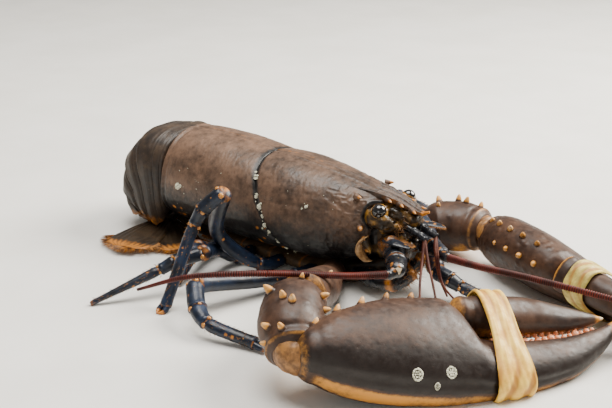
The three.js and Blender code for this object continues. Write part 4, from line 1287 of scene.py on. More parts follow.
def build_face(materials):
    belly = Skin()
    plate = box_grid(((-114, 3.6, 7.2, 11), (-112, 0.8, 7.2, 13), (-109, 0, 7.2, 14), (-60, 0, 7.2, 15),
                      (-36, 0, 7.2, 13.4), (-29, 2.2, 7.2, 12)), 140)
    seams = sum(bell(plate[..., 0], x, 0.9) for x in (-98, -80, -61, -44))
    relief = -0.5 * seams - 0.5 * bell(plate[..., 1], 0, 0.8) + 0.1 * layered(plate, 4, 3)
    plate = lifted(plate, relief)
    plate[..., 2] = np.maximum(plate[..., 2], 0.02)
    belly.grid(plate, warm=0.5 * np.minimum(seams, 1))
    belly.build("belly_plate", materials["belly"], (), "belly")

    face = Skin()
    front = box_grid(((-30, 15.6, 38, 13), (-21, 15.6, 37.6, 11.4), (-14, 15, 37.4, 9.8),
                      (-10.4, 17, 34.4, 7.4),
                      (-9.4, 19, 32, 4.4)), 160)
    lumps = 0.7 * layered(front, 4.5, 61) + 0.5 * (0.6 - grains(front, 3.2, 14))
    front = lifted(front, lumps)
    face.grid(front, dark=0.9 * smooth_step(0.2, -0.4, noise(front, 3.6, 62)),
              warm=0.42 * smooth_step(0.3, 0.8, noise(front, 2.6, 63)))
    under_beak = box_grid(UNDER_BEAK, 140)
    under_beak = lifted(under_beak,
                        0.8 * layered(under_beak, 3, 68) + 0.5 * (0.6 - grains(under_beak, 2.4, 69)))
    face.grid(under_beak, dark=0.85 * smooth_step(0.0, -0.5, noise(under_beak, 2.6, 70)),
              warm=0.45 * smooth_step(-0.3, 0.6, noise(under_beak, 3.4, 71)))
    throat = box_grid(THROAT, 120)
    throat = lifted(throat, 0.5 * layered(throat, 4, 64))
    face.grid(throat, dark=0.5)
    for _, y in SIDES:
        face.spine((-21.5, y * 15.4, 24.6), (0.75, 0.35 * y, -0.6), 4.6, 1.9, 16, 10, blunt=0.2, tint=0.6)
        for points, radii in FACE_KNOBS:
            knob = tube([on_side(p, y) for p in points], linear_radius(radii), 26, 28)
            face.grid(lifted(knob, 0.22 * layered(knob, 1.6, 65)),
                      warm=0.5 * smooth_step(0.0, 0.6, noise(knob, 2.0, 66)),
                      dark=0.5 * smooth_step(0.1, -0.5, noise(knob, 2.0, 66)))
    face.shell("face_and_throat", materials["face"], ("underside",), "belly")
    plates = Skin()
    for _, y in SIDES:
        crescent = tube([on_side(p, y) for p in CRESCENT], crescent_radius, 60, 50, flat=0.4)
        plates.grid(lifted(crescent, 0.06 * layered(crescent, 1.6, 67)))
    plates.shell("face_plates", materials["plate"], (), "mouth")

    for name, y in SIDES:
        jaw = Skin()
        points = [p[:3] for p in JAW_LEGS[name]]
        grid = tube(points, segment_radius([p[3] for p in JAW_LEGS[name]], (0.36, 0.68)), 90, 48)
        grid = lifted(grid, 0.12 * layered(grid, 2.4, 12))
        share = along_share(grid)
        jaw.grid(grid, warm=0.6 * bell(share, 0.62, 0.05) + 0.5 * smooth_step(0.86, 1, share), dark=0.3)
        jaw.shell(f"jaw_leg_skin_{name}", materials["feeler_base"], (f"jaw_leg_{name}",), "mouth")

    rng = np.random.default_rng(12)
    roots, aims, sizes = [], [], []
    for name, y in SIDES:
        for _ in range(520):
            t = rng.uniform(0.2, 1)
            p = path_points([q[:3] for q in JAW_LEGS[name]], [t])[0]
            out = np.array([rng.normal(0.6, 0.4), rng.normal(0, 0.6), rng.normal(0.2, 0.6)])
            roots.append(p + 2.2 * out / np.linalg.norm(out))
            aims.append(out + np.array([0.4, -0.5 * y, 0.2]))
            sizes.append(rng.uniform(1.6, 4.2))
        for _ in range(300):
            p = np.array([rng.uniform(-16, -7.5), y * rng.uniform(1, 9.5), rng.uniform(18, 38)])
            roots.append(p)
            aims.append((1.0, 0.5 * y + rng.normal(0, 0.3), rng.normal(-0.3, 0.4)))
            sizes.append(rng.uniform(1.6, 3.6))
    bristles("mouth_bristles", roots, aims, sizes, 1.1, materials["bristle"], "mouth", seed=7,
             spread_angle=0.3)


def segment_radius(radii, joints):
    """A radius that swells before each joint, and pinches at it."""
    base = linear_radius(radii)

    def radius(t):
        value = base(t)
        for j in joints:
            value *= 1 + 0.12 * float(bell(t, j - 0.045, 0.035)) - 0.2 * float(bell(t, j, 0.013))
            value *= 1 + 0.08 * float(bell(t, j + 0.03, 0.02))
        return value

    return radius


def build_feelers(materials):
    sizes = bpy.context.scene.lobster_sizes
    hair_roots, hair_aims, hair_sizes = [], [], []
    for name, y in SIDES:
        base, whip = FEELERS[name]
        joints = (0.3, 0.62)
        core = [p[:3] for p in base]
        grid = tube(core, segment_radius([p[3] for p in base], joints), 110, 72)
        share = along_share(grid)
        grid = lifted(grid, 0.1 * layered(grid, 2.0, 15))
        warm = sum(0.55 * bell(share, j, 0.025) for j in joints)
        legs = Skin()
        legs.grid(grid, warm=np.minimum(warm, 0.8))
        last = np.array(core[3], float)
        ahead = (last - core[2]) / np.linalg.norm(last - core[2])
        wide = base[3][3]
        dome = tube((last - 1.5 * ahead, last + 0.8 * ahead, last + 3.2 * ahead),
                    lambda t: wide * math.sqrt(max(1 - t**2.4, 0.004)), 40, 60)
        dome = lifted(dome, 0.12 * layered(dome, 1.8, 96))
        to_spot = np.linalg.norm(dome - (last + 2.6 * ahead + np.array([0.3, 0.3, 0.9])), axis=-1)
        spot = smooth_step(1.9, 0.9, to_spot + 0.7 * noise(dome, 1.1, 97)) * (y < 0)
        legs.grid(dome, pale=spot, warm=0.5 * smooth_step(0.1, 0.5, noise(dome, 1.8, 95)) * (1 - spot))
        first = np.array(whip[0][:3], float)
        aim = np.array(whip[1][:3]) - first
        cup = tube((last, first, first + aim * 2.2 / np.linalg.norm(aim)),
                   lambda t: float(np.interp(t, (0, 0.5, 0.8, 1), (2.8, 2.3, 2.2, 1.5))), 40, 40)
        legs.grid(cup, warm=0.4 * smooth_step(0.2, 0.6, noise(cup, 1.4, 98)), dark=0.3)
        neck = tube(((-15, y * 11, 25), (-9, y * 13, 28)), lambda t: 3.5, 20, 40)
        legs.grid(lifted(neck, 0.2 * layered(neck, 2.4, 16)), warm=0.35, dark=0.2)
        legs.shell(f"feeler_root_{name}", materials["feeler_base"], (f"feeler_base_{name}",), "leg")
        leaf = Skin()
        scale = tube(((-13, y * 12.4, 28.4), (-6, y * 14.4, 28.8), (1, y * 15.2, 28.8)),
                     lambda t: float(np.interp(t, (0, 0.5, 0.86, 1), (2.7, 3.1, 1.7, 0.6))), 60, 60, flat=0.4)
        leaf.grid(lifted(scale, 0.1 * layered(scale, 2, 17)),
                  warm=0.5 * smooth_step(0.25, 0.6, noise(scale, 2, 19)))
        leaf.shell(f"feeler_scale_{name}", materials["feeler_base"], (), "leg")
        inner = path_points([(p[0], p[1], p[2]) for p in
                             ((-11, y * 10.2, 28.6), (-6, y * 11.6, 28.9), (-1, y * 13.2, 29),
                              (1.6, y * 14.8, 29))],
                            np.linspace(0, 1, 90))
        for p in inner:
            hair_roots.append(p)
            hair_aims.append((0.5, -0.9 * y, 0.05))
            hair_sizes.append(2.6)

        points = [p[:3] for p in whip]
        radii = [p[3] for p in whip]
        total = float(np.linalg.norm(np.diff(path_points(points, np.linspace(0, 1, 60)), axis=0),
                                     axis=1).sum())
        count = int(total / 0.22)
        share = np.linspace(0, 1, count)
        line = path_points(points, share)
        thick = 1.02 * np.interp(share * (len(radii) - 1), np.arange(len(radii)), radii)
        half = count // 2
        for part, low, high in (("1", 0, half), ("2", half, count)):
            ringed(f"feeler_whip_{name}_{part}", line[low:high], thick[low:high], sizes.ring_pitch / MM, 0.26,
                   materials["whip"],
                   (f"feeler_{name}_{part}",), "whip", sides=12)

        small_base, small_whips = FEELERETS[name]
        root = Skin()
        stem = tube([p[:3] for p in small_base],
                    segment_radius([0.86 * p[3] for p in small_base], (0.4, 0.72)), 60, 40)
        root.grid(lifted(stem, 0.05 * layered(stem, 1.6, 18)), warm=0.06, dark=0.3)
        root.shell(f"feeleret_root_{name}", materials["feeler_base"], (f"feeleret_{name}",), "whip")
        for k, small in enumerate(small_whips):
            share = np.linspace(0, 1, 170)
            line = path_points([p[:3] for p in small], share)
            thick = np.interp(share * 3, np.arange(4), [p[3] for p in small])
            ringed(f"feeleret_whip_{name}_{k + 1}", line, thick, 0.6, 0.16, materials["feeleret"], (), "whip",
                   sides=9)
    bristles("scale_fringe", hair_roots, hair_aims, hair_sizes, 1.0, materials["bristle"], "leg", seed=9)


# Claws

def claw_frame(claw):
    """Turns distances in a claw's own frame into the modelling frame."""
    start = np.array(claw["wrist"], float)
    along = np.array(claw["tip"], float) - start
    along /= np.linalg.norm(along)
    level = np.array([-along[1], along[0], 0.0])
    level *= -claw["side"] / np.linalg.norm(level)
    up = np.cross(along, level)
    up *= np.sign(up[2])
    angle = math.radians(claw["roll"])
    medial = level * math.cos(angle) + up * math.sin(angle)
    broad = up * math.cos(angle) - level * math.sin(angle)
    size = claw["size"]

    def put(x, y, z):
        x, y, z = np.broadcast_arrays(x, y, z)
        return start + size * (x[..., None] * along + y[..., None] * medial + z[..., None] * broad)

    def aim(x, y, z):
        return x * along + y * medial + z * broad

    return put, aim


def claw_grid(stations, put, rings, count):
    xs, lows, highs, thicks = np.array(stations).T
    bend = (1 - np.cos(np.linspace(0, math.pi, rings))) / 2
    at = xs[0] + (xs[-1] - xs[0]) * (0.25 * bend + 0.75 * np.linspace(0, 1, rings))
    across, up = oval(count, 0.92)
    grid = []
    for x, low, high, thick in zip(at, spread(xs, lows, at), spread(xs, highs, at), spread(xs, thicks, at)):
        grid.append(put(x, (low + high) / 2 + across * (high - low) / 2, up * thick))
    return np.array(grid), at, across, up


def edge_of(stations, x, key):
    rows = np.array(stations)
    return float(spread(rows[:, 0], rows[:, key], np.array([x]))[0])


def build_claws(materials):
    for name, claw in CLAWS.items():
        put, aim = claw_frame(claw)
        grid, at, across, up = claw_grid(PALM, put, 230, 240)
        x = at[:, None] + 0 * across
        a = across[None, :] + 0 * x
        u = up[None, :] + 0 * x
        relief = 0.4 * layered(grid, 24, 51, 2) + 0.06 * layered(grid, 4, 52)
        relief = relief - 0.06 * smooth_step(0.36, 0.1, grains(grid, 3.0, 7))
        bumps = (smooth_step(0.42, 0.12, grains(grid, 4.6, 17)) * smooth_step(0.25, 0.9, a)
                 * smooth_step(66, 54, x))
        relief = relief + 0.3 * bumps
        relief = relief - 0.18 * bell(a, 0.2, 0.3) * smooth_step(72, 84, x) * smooth_step(126, 108, x)
        relief = (relief - 0.5 * bell(a, -0.84, 0.08) * smooth_step(6, 14, x) * smooth_step(112, 92, x)
                  * (u > -0.9))
        relief = relief + 0.3 * bell(x, 2.6, 1.4) - 0.3 * bell(x, 6.0, 1.6)
        rim = smooth_step(-0.945, -0.995, a) * smooth_step(1, 8, x) * (0.85 + 0.3 * noise(grid, 7, 56))
        warm = 0.55 * rim * smooth_step(112, 40, x) + 0.3 * rim
        warm = np.maximum(warm, 0.3 * smooth_step(3.6, 1.0, x))
        warm = np.maximum(warm, 0.5 * smooth_step(0.9, 0.99, a) * smooth_step(70, 76, x))
        warm = np.maximum(warm, 0.75 * smooth_step(124, 130, x))
        warm = np.maximum(warm, 0.3 * smooth_step(-0.3, -0.95, u) * smooth_step(0.3, -0.2, a)
                          * smooth_step(-0.95, -0.6, a))
        palm = Skin()
        # Painted shade: the palm is darkened over its outer, lower half, on the back face of its inner half
        # and along the inner edge between the fingers.
        palm.grid(lifted(grid, relief), warm=warm, pale=0.9 * smooth_step(128.4, 131, x),
                  dark=np.maximum(0.3 * smooth_step(0.1, -0.6, u) * smooth_step(0.2, 0.8, a),
                                  np.maximum(0.8 * smooth_step(0.25, -0.5, a) * smooth_step(-0.97, -0.93, a),
                                             0.5 * smooth_step(0.5, 0.9, a) * smooth_step(70, 76, x))))
        for s, reach in ((7, 4.2), (16, 4.6), (26, 4.6), (36, 4.2), (46, 3.6)):
            edge = edge_of(PALM, s, 2)
            palm.spine(put(s, edge - 2.4, 5.0), aim(0.35, 0.8, 0.5), 0.95 * reach, 1.9, 18, 11, 0.08,
                       blunt=0.75,
                       tint=1.1 if s < 30 else 0.5)
            palm.spine(put(s + 5, edge - 1.4, -3.4), aim(0.4, 1, -0.1), 0.9 * reach, 1.9, 18, 11, 0.08,
                       blunt=0.75, tint=0.7)
            palm.spine(put(s + 2, edge - 7.0, 9.2), aim(0.3, 0.6, 0.8), 0.2 * reach, 1.3, 14, 8, blunt=1,
                       tint=0.3)
        obj = palm.build(f"palm_shell_{name}", materials["claw"], (f"palm_{name}",), "claw")
        turned_outwards(obj)

        grid, at, across, up = claw_grid(FINGER, put, 150, 160)
        x = at[:, None] + 0 * across
        a = across[None, :] + 0 * x
        u = up[None, :] + 0 * x
        relief = 0.2 * layered(grid, 12, 53, 2) + 0.05 * layered(grid, 3, 54)
        relief = relief - 0.14 * bell(a, 0.1, 0.3) * smooth_step(68, 80, x) * smooth_step(120, 104, x)
        relief = relief + 0.5 * bell(x, 66, 1.6) - 0.4 * bell(x, 69.5, 1.4)
        warm = (0.4 * smooth_step(-0.9, -1.0, a) + (0.45 if name == "right" else 0.8)
                * smooth_step(67, 63.6, x))
        warm = np.maximum(warm, 0.7 * smooth_step(119, 124, x))
        finger = Skin()
        finger.grid(lifted(grid, relief), warm=warm, pale=0.9 * smooth_step(123, 125.6, x))
        finger.spine(put(65.5, 13.6, 6.4), aim(0, 0.6, 1), 1.4, 2.2, 16, 8, blunt=1, tint=0.8)
        finger.shell(f"finger_shell_{name}", materials["claw"], (f"finger_{name}",), "claw")

        points, aims, sizes = [], [], []
        for k in range(17):
            s = 76 + k * 2.7
            big = 1.7 if k % 4 == 1 else 1.25
            points.append(put(s, edge_of(PALM, s, 2) - 0.1, 0.9 + 0.3 * math.sin(7 * k)))
            aims.append(aim(0.05, 1, 0))
            sizes.append(big * claw["size"])
        for k in range(13):
            s = 77 + k * 2.9
            points.append(put(s, edge_of(FINGER, s, 1) + 0.2, 0.7 + 0.3 * math.sin(5 * k)))
            aims.append(aim(0.05, -1, 0))
            sizes.append(0.9 * claw["size"])
        beads(f"claw_teeth_{name}", points, aims, sizes, 1.15, materials["tooth"], "claw", seed=3, sides=12)
        build_arm(name, claw, materials)
        build_band(name, claw, put, materials)


# Widths of the wrist from root to end, and its knobs: share of the way along,
# aim on the right side, size
WRIST_WIDTHS = ((0.0, 0.08, 0.33, 0.66, 0.92, 1.0), (7.4, 9.4, 13.0, 13.4, 11.0, 8.6))
WRIST_KNOBS = (
    (0.42, (-0.56, -0.45, 0.7), 1.2),
    (0.57, (-0.08, -0.33, 0.94), 1.0),
    (0.63, (0.17, -0.19, 0.97), 1.0),
    (0.37, (0.78, 0.37, 0.5), 1.1),
    (0.5, (0.86, 0.42, 0.3), 1.0),
    (0.8, (-0.45, -0.69, 0.56), 0.95),
    (0.88, (-0.1, -0.5, 0.86), 0.9),
    (0.9, (-0.66, -0.72, 0.21), 0.8),
    (0.3, (0.1, 0.2, 1.0), 0.7),
)


def build_arm(name, claw, materials):
    side = claw["side"]
    wrist = Skin()
    grid = tube(claw["carpus"], lambda t: float(spread(*WRIST_WIDTHS, t)), 90, 140, flat=0.92)
    share = along_share(grid)
    relief = 0.3 * layered(grid, 12, 55, 2) + 0.08 * layered(grid, 3.6, 56)
    relief = relief + 0.14 * smooth_step(0.4, 0.12, grains(grid, 4.4, 19)) * bell(share, 0.5, 0.35)
    relief = relief + 0.5 * bell(share, 0.93, 0.03) - 0.5 * bell(share, 0.86, 0.03)
    warm = 0.34 * bell(share, 0.94, 0.02) + 0.3 * smooth_step(0.08, 0.03, share)
    under = (grid.mean(axis=1, keepdims=True) - grid)[..., 2] / 12
    warm = np.maximum(warm, 0.6 * smooth_step(0.25, 0.8, under + 0.3 * noise(grid, 5, 61))
                      * smooth_step(0.4, 0.7, share))
    wrist.grid(lifted(grid, relief), warm=warm)
    for t, d, size in WRIST_KNOBS:
        d = np.array(d) * np.array([1, -side, 1]) / np.linalg.norm(d)
        middle = path_points(claw["carpus"], [t])[0]
        out = 0.88 * float(spread(*WRIST_WIDTHS, t))
        wrist.spine(middle + d * out, d, 4.2 * size, 1.9 * size, 18, 11, blunt=0.8)
    wrist.shell(f"wrist_shell_{name}", materials["claw"], (f"wrist_{name}",), "claw")

    arm = Skin()
    grid = tube(claw["merus"], linear_radius(MERUS_RADII), 90, 110, flat=1.06)
    share = along_share(grid)
    relief = 0.2 * layered(grid, 9, 57, 2) + 0.1 * layered(grid, 3, 58) + 0.4 * bell(share, 0.93, 0.03)
    grid = lifted(grid, relief)
    grid[..., 2] = np.maximum(grid[..., 2], 0.05)
    arm.grid(grid, warm=0.35 * smooth_step(0.95, 0.98, share) + 0.2 * bell(share, 0.35, 0.02))
    a, b = np.array(claw["merus"][2], float), np.array(claw["merus"][3], float)
    for t in (0.15, 0.48):
        arm.spine(a + (b - a) * t + np.array([4, 0, 6]), (0.5, -0.3 * side, 0.9), 4.4, 1.8, 16, 10, blunt=0.7)
    arm.shell(f"arm_shell_{name}", materials["claw"], (f"arm_{name}",), "claw")

    soft = Skin()
    start = np.array(claw["carpus"][3], float)
    ahead = start + 0.05 * (np.array(claw["tip"], float) - np.array(claw["wrist"], float))
    behind = np.array(claw["carpus"][2], float) * 0.3 + start * 0.7
    grid = tube((behind, start, ahead), lambda t: 7.9 - 0.7 * t + 0.35 * math.sin(22 * t), 60, 90)
    grid = lifted(grid, 0.3 * layered(grid, 3, 59))
    soft.grid(grid)
    soft.shell(f"wrist_membrane_{name}", materials["membrane"], (), "claw")


def build_band(name, claw, put, materials):
    """A stretched rubber sleeve with creases round it."""
    crease_depth = bpy.context.scene.lobster_sizes.crease_depth / MM
    at = np.linspace(BAND_FROM, BAND_TO, 46)
    count = 260
    across, up = oval(count, 0.62)
    angle = 2 * np.pi * np.arange(count) / count
    outer, inner, painted_crease_shade = [], [], []
    centre = (BAND_FROM + BAND_TO) / 2
    palm, finger = np.array(PALM).T, np.array(FINGER).T
    for share in (at - BAND_FROM) / (BAND_TO - BAND_FROM):
        wider = 1 + 0.4 * smooth_step(0.2, -0.9, across)
        x = centre + (share - 0.5) * (BAND_TO - BAND_FROM) * wider
        low, high = spread(palm[0], palm[1], x), spread(finger[0], finger[2], x)
        thick = np.maximum(spread(palm[0], palm[3], x), spread(finger[0], finger[3], x))
        middle, half = (low + high) / 2, (high - low) / 2
        edge = 0.5 * smooth_step(0.9, 1.0, abs(2 * share - 1))
        turn = (share * 2.1 + 0.3 * np.sin(2 * angle + 0.7) + 0.1 * np.sin(5 * angle + 1) + 0.04
                * np.sin(9 * angle))
        crease = 0.5 + 0.5 * np.sin(2 * math.pi * turn)
        fine = 0.5 + 0.5 * np.sin(2 * math.pi * (share * 6.3 + 0.5 * np.sin(3 * angle + 2)))
        grow = 1.25 + crease_depth * (0.82 * crease + 0.18 * fine) - edge
        outer.append(put(x, middle + across * (half + grow), up * (thick + grow)))
        inner.append(put(x, middle + across * (half + 0.85), up * (thick + 0.85)))
        # Painted shade, deepest down in each crease and fading on the folds.
        painted_crease_shade.append((1 - crease) ** 1.6 * (0.75 + 0.25 * np.sin(3 * angle)) + 0.12 * (1 - fine) ** 3)
    rings = outer + inner[::-1] + [outer[0]]
    marks = np.array(painted_crease_shade + [np.zeros(count)] * len(inner) + [painted_crease_shade[0]])
    band = Skin()
    rings = np.array(rings)
    first = band.keep(rings[:-1], {"dark": marks[:-1]})
    n = len(rings) - 1
    j = np.arange(count)
    k = (j + 1) % count
    for r in range(n):
        a, b = first + r * count, first + ((r + 1) % n) * count
        band.faces += np.stack([a + j, a + k, b + k, b + j], axis=1).tolist()
    band.shell(f"band_rubber_{name}", materials[f"band_{name}"], (f"band_{name}",), "band")


# Walking legs

def add_segment(skin, points, radius, start, end, flat, seed):
    """One hard segment of a leg between two shares of its path: narrow at its root, flared at its end."""
    length = np.linalg.norm(np.diff(path_points(points, np.linspace(start, end, 9)), axis=0), axis=1).sum()
    steps = max(14, int(length / 0.7))

    def local(t):
        shape = (0.8 + 0.2 * smooth_step(0, 0.14, t) + 0.1 * bell(t, 0.95, 0.06) - 0.3
                 * smooth_step(0.975, 1, t) ** 2)
        return radius(start + (end - start) * t) * float(shape)

    core = path_points(points, np.linspace(start, end, 12))
    grid = tube(core, local, steps, 44, flat=flat)
    share = along_share(grid)
    grid = lifted(grid, 0.06 * layered(grid, 2.6, seed) - 0.05 * bell(share, 0.9, 0.015))
    warm = 0.8 * smooth_step(0.94, 0.975, share) + 0.6 * smooth_step(0.07, 0.03, share)
    spots = 0.7 * smooth_step(0.26, 0.16, grains(grid, 4.2, seed)) * (noise(grid, 6, seed) > 0.25)
    skin.grid(grid, warm=np.maximum(warm * (0.46 + 0.6 * noise(grid, 1.5, seed)), spots))


def add_pincer(skin, foot, last):
    """The two thin fingers at the end of a leg."""
    aside = np.cross((0, 0, 1), last)
    aside /= np.linalg.norm(aside)
    for turn in (-1, 1):
        tip = []
        for distance, offset, lowest in ((-2, 1.1, 1.4), (4, 1.7, 1.0), (9, 0.4, 0.6)):
            p = foot + last * distance + aside * turn * offset
            p[2] = max(p[2], lowest)
            tip.append(p)
        finger = tube(tip, linear_radius((1.55, 1.3, 0.3)), 40, 28)
        share = along_share(finger)
        skin.grid(finger, warm=0.8 * smooth_step(0.35, 0.8, share))


def build_legs(materials):
    rng = np.random.default_rng(31)
    hairs = ([], [], [])
    knobs = ([], [], [])

    def ring_of_hairs(point, along, radius, count, length):
        for _ in range(count):
            d = rng.normal(0, 1, 3)
            d -= along * d.dot(along)
            d /= np.linalg.norm(d)
            if point[2] < 3:
                d[2] = abs(d[2])
            hairs[0].append(point + d * radius)
            hairs[1].append(d + along * 1.2)
            hairs[2].append(rng.uniform(0.6, 1.2) * length)

    def knob_pair(point, along, radius):
        across = np.cross(along, (0.2, 0.1, 1.0))
        across /= np.linalg.norm(across)
        for turn in (-1, 1):
            knobs[0].append(point + across * turn * radius * 0.82)
            knobs[1].append(across * turn)
            knobs[2].append(0.31 * radius)
        up = np.cross(across, along)
        knobs[0].append(point + up * np.sign(up[2]) * radius * 0.8)
        knobs[1].append(up * np.sign(up[2]))
        knobs[2].append(0.24 * radius)

    for i, (pincer, hip_x, r, routes) in enumerate(LEGS):
        for name, y in SIDES:
            route, low, foot = routes[name]
            hip = (hip_x, y * HIP_Y, HIP_Z)
            out = (hip_x + 0.25 * (route[0][0] - hip_x), y * 26, HIP_Z)
            points = [hip, out, *route]
            joint = 1.1 / (len(points) - 1)
            thick = linear_radius([0.86 * r, 0.94 * r] + [1.0 * r] * (len(route) - 1) + [1.06 * r])
            thigh = Skin()
            add_segment(thigh, points, thick, 0, joint, 0.94, 71)
            add_segment(thigh, points, thick, joint - 0.01, 1, 0.94, 72)
            thigh.shell(f"thigh_shell_{name}_{i + 1}", materials["leg"], (f"thigh_{name}_{i + 1}",), "leg")

            end = 0.74 * r if pincer else 0.34 * r
            points = [route[-1], *low, foot]
            thin = linear_radius((1.02 * r, 1.02 * r, 0.84 * r, end))
            shank = Skin()
            add_segment(shank, points, thin, 0, 0.36, 0.9, 73)
            add_segment(shank, points, thin, 0.35, 0.68, 0.9, 74)
            add_segment(shank, points, thin, 0.67, 1, 0.86, 75)
            line = path_points(points, np.linspace(0, 1, 101))
            if pincer:
                foot_point = np.array(foot, float)
                last = foot_point - np.array(low[1], float)
                add_pincer(shank, foot_point, last / np.linalg.norm(last))
            shank.shell(f"shank_shell_{name}_{i + 1}", materials["leg"], (f"shank_{name}_{i + 1}",), "leg")
            for k in (2, 36, 68):
                along = line[k + 2] - line[k]
                along /= np.linalg.norm(along)
                knob_pair(line[k], along, thin(k / 100) * 1.02)
                ring_of_hairs(line[k], along, thin(k / 100) * 0.95, 12, 1.3)
            for k in range(70, 99):
                along = line[k + 1] - line[k]
                along /= np.linalg.norm(along)
                ring_of_hairs(line[k], along, thin(k / 100) * 0.9, 5, 1.5)
    bristles("foot_bristles", *hairs, 0.85, materials["bristle"], "leg", seed=13)
    beads("leg_joint_knobs", *knobs, 0.75, materials["amber"], "leg", seed=4, sides=12)


# Chalky specks on the old shell

# Places down the neck groove of the right side: height and size
GROOVE_SPECKS = ((44.7, 1.3), (37.3, 0.9), (33.4, 1.2), (29.0, 0.8), (25.2, 1.2), (22.6, 0.9), (17.2, 1.2),
                 (13.0, 1.0),
                 (10.4, 1.1))
# Loose specks of the right side: x, height and size
LOOSE_SPECKS = ((-50.8, 38.2, 0.9), (-52.6, 37.0, 0.5), (-48.0, 21.4, 0.6), (-46.0, 22.2, 0.5),
                (-49.4, 20.6, 0.4))
# Worm tubes on the right palm, in the claw's own frame: place and radius
PALM_RINGS = ((39.0, -17.6, 1.7), (52.0, -17.6, 1.7), (46.4, -21.4, 0.9))


def on_shield(stations, x, z, side):
    """A point on the carapace and the way it faces, at a place along it and a height."""
    rows = np.array(stations)

    def at(station, key):
        return float(spread(rows[:, 0], rows[:, key], np.array([station]))[0])

    station = np.clip(x - at(x, 4) * (at(x, 1) - z), rows[0, 0], rows[-1, 0])
    top, bottom, half = (at(station, key) for key in (1, 2, 3))
    widest = bottom + 0.36 * (top - bottom)
    up = (z - widest) / (top - widest if z > widest else widest - bottom)
    rise = min(abs(up), 0.999) ** (1 / 0.86)
    y = half * math.sqrt(1 - rise * rise) ** 0.86 * (1 + 0.16 * up if up < 0 else 1)
    return np.array([x, side * y, z]), np.array([0.05, side * (1.05 - abs(up)), 0.9 * up])


def build_specks(materials):
    rng = np.random.default_rng(44)
    points, aims, sizes = [], [], []

    def patch(point, aim, size):
        """One larger speck with crumbs round it."""
        points.append(point)
        aims.append(aim)
        sizes.append(size)
        for _ in range(7):
            points.append(point + rng.normal(0, 0.85, 3) * size * np.array([0.8, 0.3, 1.1]))
            aims.append(aim)
            sizes.append(size * rng.uniform(0.2, 0.6))

    patch(*on_shield(THORAX, -127.8, 32.3, -1), 1.7)
    for side in (-1, 1):
        for z, size in GROOVE_SPECKS:
            z = z if side < 0 else z + rng.normal(0, 1.5)
            x = -86.6 + 0.575 * (51 - z) + rng.uniform(-0.4, 0.9)
            patch(*on_shield(HEAD, x, z, side), size)
        for x, z, size in LOOSE_SPECKS:
            patch(*on_shield(HEAD, x + (side + 1) * 2, z, side), size)
        for stations, start, end, count in ((HEAD, -72, -34, 22), (THORAX, -130, -98, 26)):
            for _ in range(count):
                point, aim = on_shield(stations, rng.uniform(start, end), rng.uniform(16, 44), side)
                points.append(point)
                aims.append(aim)
                sizes.append(rng.uniform(0.1, 0.28))
    put, aim = claw_frame(CLAWS["right"])
    for x, y, size in PALM_RINGS:
        ring = [(math.cos(turn), math.sin(turn)) for turn in np.linspace(0, 2 * math.pi, 19)[:-1]]
        for along, aside in (*ring, *(0.5 * np.array(ring[::3])), (0, 0)):
            at = (x + along * size, y + aside * size)
            low, high, thick = (edge_of(PALM, at[0], key) for key in (1, 2, 3))
            across = (2 * at[1] - low - high) / (high - low)
            rise = thick * (1 - abs(across) ** 2.17) ** 0.46
            points.append(put(*at, rise + 0.12))
            aims.append(aim(0.0, 0.5 * across, 1.0))
            sizes.append(0.26 * size)
    beads("chalky_specks", points, aims, sizes, 0.4, materials["chalk"], "carapace", seed=6, sides=9)


# Stage

VIEW_SIDE = 38.0
VIEW_DOWN = 21.0
VIEW_DISTANCE = 480.0
VIEW_TARGET = (0.0, 0.0, 40.0)
VIEW_OFFSET = (-53.78, 4.44)
LENS = 63.53
FLOOR_HALF = 1.5
# Soft lamps: name, place in metres, size, power and tint
LAMPS = (
    ("back_key", (0.35, 0.62, 0.62), 0.6, 25.0, (1.0, 0.95, 0.86)),
    ("overhead", (-0.15, 0.05, 0.95), 0.7, 14.5, (1.0, 0.97, 0.92)),
    ("front_fill", (0.35, -0.95, 0.4), 0.5, 1.2, (1.0, 0.97, 0.92)),
)


def build_floor():
    mesh = bpy.data.meshes.new("floor")
    h = FLOOR_HALF
    mesh.from_pydata([(-h, -h, 0), (h, -h, 0), (h, h, 0), (-h, h, 0)], [], [(0, 1, 2, 3)])
    floor = bpy.data.objects.new("floor", mesh)
    bpy.context.scene.collection.objects.link(floor)
    material, nodes, shader, link = new_material("pale floor")
    where = nodes.add("ShaderNodeTexCoord").outputs["Object"]
    tone = nodes.mix(nodes.band(nodes.noise(where, 60, 3.0), 0.3, 0.7), colour(0xEDEBE6), colour(0xE6E4DE))
    link(tone, shader.inputs["Base Color"])
    shader.inputs["Roughness"].default_value = 0.6
    mesh.materials.append(material)
    floor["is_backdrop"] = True


def build_lights(look):
    world = bpy.data.worlds.new("studio")
    bpy.context.scene.world = world
    world.use_nodes = True
    background = world.node_tree.nodes["Background"]
    background.inputs["Color"].default_value = (1.0, 0.97, 0.93, 1.0)
    background.inputs["Strength"].default_value = look.sky
    for name, where, size, power, tint in LAMPS:
        light = bpy.data.lights.new(name, "AREA")
        light.shape = "DISK"
        light.size = size
        light.energy = power * look.lamps
        light.color = tint
        lamp = bpy.data.objects.new(name, light)
        lamp.location = where
        lamp.rotation_euler = (-Vector(where)).to_track_quat("-Z", "Y").to_euler()
        bpy.context.scene.collection.objects.link(lamp)


